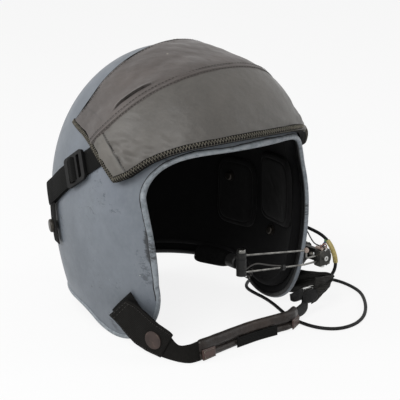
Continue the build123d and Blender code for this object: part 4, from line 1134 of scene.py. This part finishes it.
for hand, word in HANDS:
    form_band("side_strap_" + word, [STRAP_ROOT, STRAP_END], 24.0, strap_out, 1.7, hand, "cover_strap_" + word)
    form_band("side_strap_tail_" + word, [(22.0, 160.0), (45.0, 145.0), (69.0, 129.5)], 23.5, tail_out, 1.7, hand)
    form_band("rear_strap_" + word, [(64.5, 134.0), (61.5, 100.0), (60.0, 80.0)], 20.0, rear_out, 1.6, hand,
              "rear_tab_" + word)


# Chin strap on the wearer's right

def root_panel(name, corners, hand, node):
    """A four-cornered patch of webbing on the form."""
    shares = np.linspace(0, 1, 24)
    u, v = shares[:, None, None], shares[:, None]
    first, second, third, fourth = np.array(corners)
    places = (first * (1 - u) + second * u) * (1 - v) + (fourth * (1 - u) + third * u) * v
    surface = lift(places)
    outward = normals(surface)
    middle = (surface + outward * PATCH_OUT) * (hand, 1, 1)
    made = slab(name, middle, PATCH_THICK, WEBBING, outward * (hand, 1, 1), places)
    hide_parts(node)


root_panel("chin_root_right", ((-66.0, 60.5), (-36.0, 34.0), (-56.0, 10.5), (-79.5, 34.0)), -1, "chin_webbing_right")
root_panel("chin_root_left", ((-57.0, 49.0), (-36.0, 34.0), (-56.0, 10.5), (-76.0, 30.0)), 1, "chin_webbing_left")

# The strap's upper and lower edge points, as shares of the form's half width, its front reach and CHIN_HEIGHT
CHIN_HEIGHT = 38.0
TAB_THICK, FLAP_THICK, FLAP_OUT, FLAP_ROWS = 2.8, 2.0, 2.5, 60
FLAP_CORNER = np.array([2.0, -5.0, 1.5])
CHIN_THREAD = 0.3

CHIN_TAB = [
    (-0.923, -0.463, 1.358, -0.945, -0.285, 0.800),
    (-0.899, -0.560, 1.290, -0.927, -0.372, 0.620),
    (-0.848, -0.690, 1.010, -0.884, -0.520, 0.240),
    (-0.806, -0.790, 0.760, -0.830, -0.700, 0.070),
    (-0.765, -0.868, 0.480, -0.770, -0.845, 0.018),
    (-0.700, -0.915, 0.480, -0.705, -0.935, 0.018),
    (-0.600, -0.915, 0.500, -0.600, -0.945, 0.018),
]
tab_stations = np.reshape(CHIN_TAB, (-1, 2, 3)) * (HALF, FRONT, CHIN_HEIGHT)
chin_tab, tab_middle, tab_normal = band(
    "chin_tab", tab_stations, TAB_THICK, TAB_WEBBING, 110, 15, clear=3.7)
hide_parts("chin_tab_right")


def chin_flap():
    """The wide end flap on the tab, with its square front corner standing off."""
    rows = np.arange(FLAP_ROWS)
    upper, lower = tab_middle[rows, 0], tab_middle[rows, -1]
    upper = upper + (upper - lower) * 0.03 + smooth_step(rows, 34, FLAP_ROWS - 1)[:, None] * FLAP_CORNER
    shares = np.linspace(0, 1, 15)
    surface = between(upper, lower, shares)
    middle = surface + tab_normal[rows] * (FLAP_OUT + 0.35 * wavy(surface, 24.0, 81))[..., None]
    uvs = pairs(rows[:, None], shares * 22)
    slab("chin_flap", middle, FLAP_THICK, TAB_WEBBING, tab_normal[rows], uvs)
    return middle


flap_middle = chin_flap()


def band_stitches(name, middle, normal, thick, lines, look, slot, pitch=2):
    """Stitch lines on a strap, each from one (row, column) of its grid to another."""
    starts, ends, outward = [], [], []
    for (row_a, column_a), (row_b, column_b) in lines:
        count = max(2, int(max(abs(row_b - row_a), abs(column_b - column_a)) / pitch))
        rows = np.linspace(row_a, row_b, count * 2).round().astype(int)
        columns = np.linspace(column_a, column_b, count * 2)
        low = np.floor(columns).astype(int)
        high = np.minimum(low + 1, middle.shape[1] - 1)
        share = (columns - low)[:, None]
        spots = middle[rows, low] * (1 - share) + middle[rows, high] * share
        lifted = spots + normal[rows, low] * (thick / 2 + 0.1)
        starts.append(lifted[:-1:2])
        ends.append(lifted[1::2])
        outward.append(normal[rows, low][:-1:2])
    threads(name, np.vstack(starts), np.vstack(ends), np.vstack(outward), CHIN_THREAD, look, slot)


flap_lines = [((3, 1.0), (56, 1.0)), ((3, 1.0), (3, 13.0)), ((3, 13.0), (56, 13.0)), ((9, 1.0), (9, 13.0))]
band_stitches("chin_tab_stitches", flap_middle, tab_normal, FLAP_THICK, flap_lines, DARK_THREAD, "tab_webbing")

CHIN_PAD = [
    (-0.590, -0.914, -0.595, -0.944), (-0.450, -0.905, -0.450, -0.915), (-0.200, -0.878, -0.200, -0.882),
    (0.050, -0.862, 0.050, -0.866), (0.250, -0.868, 0.250, -0.872), (0.420, -0.868, 0.430, -0.872),
    (0.520, -0.820, 0.535, -0.824),
]
ROLL_TOP, ROLL_FOOT, ROLL_LENGTH = 20.0, 0.3, 105
PINCH, PINCH_SHARE = 0.9, 0.012
SLIT_CORNERS, SLIT_DEPTHS = slice(7, 12), np.array([0.6, 1.4, 2.2, 1.4, 0.5])
PAD_TAB_THICK, PAD_TAB_OUT = 2.4, 4.2
pad_rows = np.array([((a * HALF, b * FRONT, ROLL_TOP), (c * HALF, d * FRONT, ROLL_FOOT)) for a, b, c, d in CHIN_PAD])


def toward(start, end, share):
    return start + (end - start) * share


def chin_roll():
    """The padded leather roll with a slit along its outer side and crosswise wrinkles."""
    count = 150
    first, last = toward(pad_rows[0], pad_rows[1], -0.16), toward(pad_rows[-1], pad_rows[-2], -0.28)
    rows = np.concatenate([[first], pad_rows[1:-1], [last]])
    upper, lower = through(rows[:, 0], count), through(rows[:, 1], count)
    template = np.array([
        (0.0, 20.0), (1.4, 19.8), (2.7, 19.1), (3.7, 17.8), (4.3, 15.9), (4.5, 13.8), (4.4, 11.8), (3.8, 10.0),
        (2.8, 8.7), (2.2, 8.0), (2.9, 7.4), (3.8, 6.4), (4.2, 4.8), (4.0, 3.0), (3.1, 1.4), (1.6, 0.4), (0.0, 0.2),
        (-1.6, 0.4), (-3.0, 1.4), (-3.9, 3.2), (-4.3, 6.0), (-4.4, 9.0), (-4.4, 12.0), (-4.2, 15.0), (-3.6, 17.6),
        (-2.4, 19.2), (-1.2, 19.8),
    ])
    shares = np.linspace(0, 1, count)
    end_gap = np.minimum(shares, 1 - shares)
    middle = (upper + lower) / 2
    outside = unit(np.cross(unit(np.gradient(middle, axis=0)), (0.0, 0.0, 1.0)))
    spots = between(lower, upper, template[:, 1] / ROLL_TOP)
    pinch = 1 - PINCH * np.exp(-end_gap / PINCH_SHARE)
    depth = np.repeat(template[None, :, 0], count, 0)
    depth[:, SLIT_CORNERS] -= SLIT_DEPTHS * smooth_step(end_gap, 0.03, 0.12)[:, None]
    flat = pairs(shares[:, None] * ROLL_LENGTH, template[:, 1])
    folds = wavy(flat * (0.4, 1.0), 9.0, 71, 2) * 0.28 + wavy(flat * (1.0, 0.3), 12.0, 72, 2) * 0.22
    full = np.sign(depth) * (np.abs(depth) * pinch[:, None] + folds * np.minimum(np.abs(depth) / 3, 1))
    points = spots + outside[:, None] * np.clip(full, -4.6, 4.7)[..., None]
    sink = (1 - pinch)[:, None, None] * 0.35
    points = points * (1 - sink) + middle[:, None] * sink
    made = finish_mesh("chin_roll", points, tube_faces(count, len(template)), PAD_LEATHER)
    rounder = made.modifiers.new("rounder", "SUBSURF")
    rounder.levels = rounder.render_levels = 1
    return made


roll_piece = chin_roll()
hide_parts("chin_pad")


def low_station(start, end, share):
    """A station of an end tab, which shows below the roll."""
    upper, lower = toward(start, end, share)
    return toward(lower, upper, 0.52), toward(lower, upper, 0.02)


tabs = {}
for word, start, end, shares in (("right", pad_rows[0], pad_rows[1], (-0.1, 0.45, 0.95)),
                                 ("left", pad_rows[-1], pad_rows[-2], (-0.1, 0.5, 1.2))):
    stations = [low_station(start, end, share) for share in shares]
    tabs[word] = band("pad_tab_" + word, stations, PAD_TAB_THICK, TAN_LEATHER, 24, 11, shift=PAD_TAB_OUT)
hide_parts("pad_end_tabs")
tab_lines = [((2, 1.5), (21, 1.5)), ((2, 1.5), (2, 8.5)), ((2, 8.5), (21, 8.5))]
for word, (_, middle, normal) in tabs.items():
    band_stitches("pad_tab_stitches_" + word, middle, normal, PAD_TAB_THICK, tab_lines, THREAD, "tan_leather",
                  pitch=3)

band_rows = [(toward(lower, upper, 0.5), lower) for upper, lower in pad_rows[2:5]]
pad_band, _, _ = band("pad_webbing", band_rows, 1.9, WEBBING, 60, 9, shift=5.25)
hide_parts("pad_band")


# Strap, riser and folded loop on the wearer's left

riser, _, _ = band("riser_strap", [
    ((65.4, -111.4, 16.5), (66.6, -111.8, 5.4)), ((73.0, -108.6, 17.0), (79.0, -108.4, 5.4)),
    ((79.0, -106.0, 18.0), (87.0, -105.6, 9.0)), ((81.0, -103.4, 22.0), (89.6, -103.4, 17.0)),
], 2.6, BLACK_STRAP, 50, 9)
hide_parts("riser_left")
LOOP = [
    ((106.0, -66.0, 38.0), (99.5, -60.0, 12.0)), ((110.0, -76.0, 38.5), (106.0, -74.0, 14.0)),
    ((116.0, -88.0, 39.0), (113.0, -87.0, 20.0)), ((121.5, -96.0, 39.0), (120.5, -95.5, 27.0)),
    ((123.5, -100.5, 38.5), (122.5, -100.5, 29.0)), ((120.5, -104.6, 38.5), (119.5, -104.6, 27.0)),
    ((110.0, -105.2, 39.5), (107.0, -105.4, 19.0)), ((99.5, -103.6, 40.0), (94.6, -104.0, 12.0)),
]
loop_strap, _, _ = band("loop_strap", LOOP, 2.9, LOOP_FABRIC, 110, 25, clear=3.6, folds=1.0, pleats=1.5)
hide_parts("chin_loop_left")

RING_FOLD = [
    ((80.4, -104.0, 27.0), (81.0, -104.4, 17.4)), ((84.0, -105.4, 28.5), (84.6, -105.8, 15.8)),
    ((92.0, -105.8, 28.8), (92.0, -106.2, 15.2)), ((98.0, -105.2, 28.2), (98.6, -105.6, 16.0)),
    ((101.0, -103.4, 27.0), (101.4, -103.8, 18.0)),
]
band("ring_fold", RING_FOLD, 2.4, BLACK_STRAP, 50, 11, bulge=0.8)
STUB = [
    ((83.5, -102.0, 31.0), (83.0, -102.4, 20.0)), ((77.0, -104.4, 32.0), (76.0, -104.8, 20.4)),
    ((70.0, -103.2, 30.0), (70.5, -103.6, 20.0)), ((67.0, -100.6, 28.0), (67.8, -101.0, 21.4)),
]
band("ring_stub", STUB, 2.6, BLACK_STRAP, 40, 9, bulge=0.8)


# Finishes of the CAD pieces that stay

for look, nodes in (
    (RUBBER, ("earphone_left", "earphone_right", "visor_edge_roll", "mic_grille", "cord_gland")),
    (SNAP, ("liner_snaps", "strap_studs")),
    (GLASS, ("visor_lens",)),
    (BUCKLE, ("strap_buckles",)),
    (BRONZE, ("chin_snap_cap",)),
    (STEEL, ("ring_left", "clamp_screws", "plug_pin")),
    (BLACK_PLASTIC, ("boom_boss", "boom_nut", "mic_post", "mic_capsule", "lead_clip", "lead_gland")),
    (ALLOY, ("boom_pin", "boom_arm", "boom_block")),
    (WHITE_PLASTIC, ("lead_lugs", "wire_knob")),
    (WIRE_STEEL, ("boom_wire_low", "boom_wire_high", "mic_cap")),
    (YELLOW, ("cord_sleeve",)),
    (CORD_RUBBER, ("plug_body",)),
):
    for node in nodes:
        materials = bpy.data.objects[node].data.materials
        materials.clear()
        materials.append(look)


# Small wiring at the boom's two ends

def wrap(name, path, radius, sides, look, body, up=(0.0, 0.0, 1.0)):
    """A round tube along any line in space."""
    uvs = pairs(run_along(path)[:, None], np.arange(sides) * 1.0)
    points = around(path, radius, sides, up)
    finish_mesh(name, points, tube_faces(len(path), sides), look, uvs, SHARP, body=body)


def tube(name, route, radius, look, body):
    wrap(name, through(route, 12 * len(route)), radius, 10, look, body)


def curl(name, start, end, radius, turns, thick, look, body):
    """A coil of wire round the line from start to end."""
    share = np.linspace(0, 1, 22 * turns)[:, None]
    start, end = np.array(start), np.array(end)
    along = unit(end - start)
    side = unit(np.cross(along, (0.0, 1.0, 0.0)))
    rise = np.cross(side, along)
    angle = 2 * np.pi * turns * share
    path = start + (end - start) * share + radius * (np.cos(angle) * side + np.sin(angle) * rise)
    wrap(name, path, thick, 8, look, body, along)


curl("mic_coil", (7.0, -105.0, 59.4), (13.5, -105.0, 67.6), 1.8, 4, 0.42, LEAD_BLACK, "mic_carrier")
tube("mic_bridge", [(0.0, -108.0, 64.0), (4.0, -106.5, 61.6), (7.0, -105.0, 59.6)], 0.5, LEAD_BLACK,
     "mic_carrier")
tube("wire_brace", [(86.0, -104.4, 63.2), (82.6, -104.8, 60.6), (80.0, -104.4, 58.0)], 0.5, LEAD_BLACK,
     "mic_carrier")
tube("green_sleeve", [(111.0, -101.0, 71.0), (112.4, -103.0, 74.6), (112.0, -104.4, 78.4)], 1.2, GREEN,
     "boom")
tube("blue_sleeve", [(107.6, -103.0, 71.0), (108.6, -105.4, 75.0), (110.4, -106.4, 77.4)], 1.1, BLUE,
     "boom")
tube("brown_loop", [(106.0, -104.0, 70.4), (104.0, -107.0, 74.0), (107.0, -108.4, 76.2), (110.6, -107.6, 73.4),
                    (111.6, -105.0, 70.6)], 0.7, LEAD_BROWN, "boom")
tube("dark_loop", [(112.0, -106.4, 66.6), (116.4, -107.4, 63.0), (116.0, -107.0, 56.0), (111.6, -106.6, 51.8)], 0.8,
     LEAD_BLACK, "boom")
tube("solder_tip", [(108.4, -107.8, 68.4), (109.6, -109.0, 70.6)], 0.9, STEEL, "boom")


# Floor, world and lights

def near_white_rays(tree):
    """0 for a diffuse ray, and 1 or more for one from the camera, a reflection or a lens."""
    path = tree.nodes.new("ShaderNodeLightPath")
    total = path.outputs["Is Camera Ray"]
    for kind in ("Is Glossy Ray", "Is Transmission Ray"):
        add = tree.nodes.new("ShaderNodeMath")
        tree.links.new(total, add.inputs[0])
        tree.links.new(path.outputs[kind], add.inputs[1])
        total = add.outputs[0]
    return total


def stage_material(name, grey, seen):
    """Pale material that the camera and reflections see near white, with the object's shadow kept."""
    material = bpy.data.materials.new(name)
    material.use_nodes = True
    tree = material.node_tree
    tree.nodes.clear()
    output = tree.nodes.new("ShaderNodeOutputMaterial")
    share = tree.nodes.new("ShaderNodeMath")
    share.operation = "MULTIPLY"
    share.use_clamp = True
    share.inputs[1].default_value = seen
    mix = tree.nodes.new("ShaderNodeMixShader")
    diffuse = tree.nodes.new("ShaderNodeBsdfDiffuse")
    glow = tree.nodes.new("ShaderNodeEmission")
    diffuse.inputs["Color"].default_value = (grey, grey, grey, 1.0)
    tree.links.new(near_white_rays(tree), share.inputs[0])
    tree.links.new(share.outputs[0], mix.inputs[0])
    tree.links.new(diffuse.outputs[0], mix.inputs[1])
    tree.links.new(glow.outputs[0], mix.inputs[2])
    tree.links.new(mix.outputs[0], output.inputs["Surface"])
    return material


FLOOR_REACH, FLOOR_DEPTH, FLOOR_GREY, FLOOR_SEEN = 6.0, 0.0004, 0.9, 0.86
WORLD_LIGHT = 0.42
AIM_HEIGHT = 0.15
floor_mesh = bpy.data.meshes.new("floor")
floor_corners = [(x * FLOOR_REACH, y * FLOOR_REACH, 0) for x, y in ((-1, -1), (1, -1), (1, 1), (-1, 1))]
floor_mesh.from_pydata(floor_corners, [], [(0, 1, 2, 3)])
floor_mesh.materials.append(stage_material("pale_floor", FLOOR_GREY, FLOOR_SEEN))
floor = add_object("floor", floor_mesh)
floor.location.z = -FLOOR_DEPTH

world = bpy.data.worlds.new("studio")
bpy.context.scene.world = world
world.use_nodes = True
world_tree = world.node_tree
background = world_tree.nodes["Background"]
level = world_tree.nodes.new("ShaderNodeMapRange")
level.inputs["To Min"].default_value = WORLD_LIGHT
level.inputs["To Max"].default_value = 1.0
world_tree.links.new(near_white_rays(world_tree), level.inputs["Value"])
world_tree.links.new(level.outputs[0], background.inputs["Strength"])
background.inputs["Color"].default_value = (1.0, 1.0, 1.0, 1.0)


def lamp(name, spot, size, power):
    data = bpy.data.lights.new(name, "AREA")
    data.shape = "DISK"
    data.size = size
    data.energy = power
    made = add_object(name, data)
    made.location = spot
    aim = Vector((0.0, 0.0, AIM_HEIGHT)) - Vector(spot)
    made.rotation_euler = aim.to_track_quat("-Z", "Y").to_euler()


lamp("key_lamp", (-1.6, -1.1, 1.9), 1.3, 32)
lamp("side_lamp", (1.9, -1.2, 1.3), 1.6, 10)
lamp("back_lamp", (-2.1, 0.9, 1.3), 1.2, 24)

bpy.context.scene.view_settings.view_transform = "Standard"
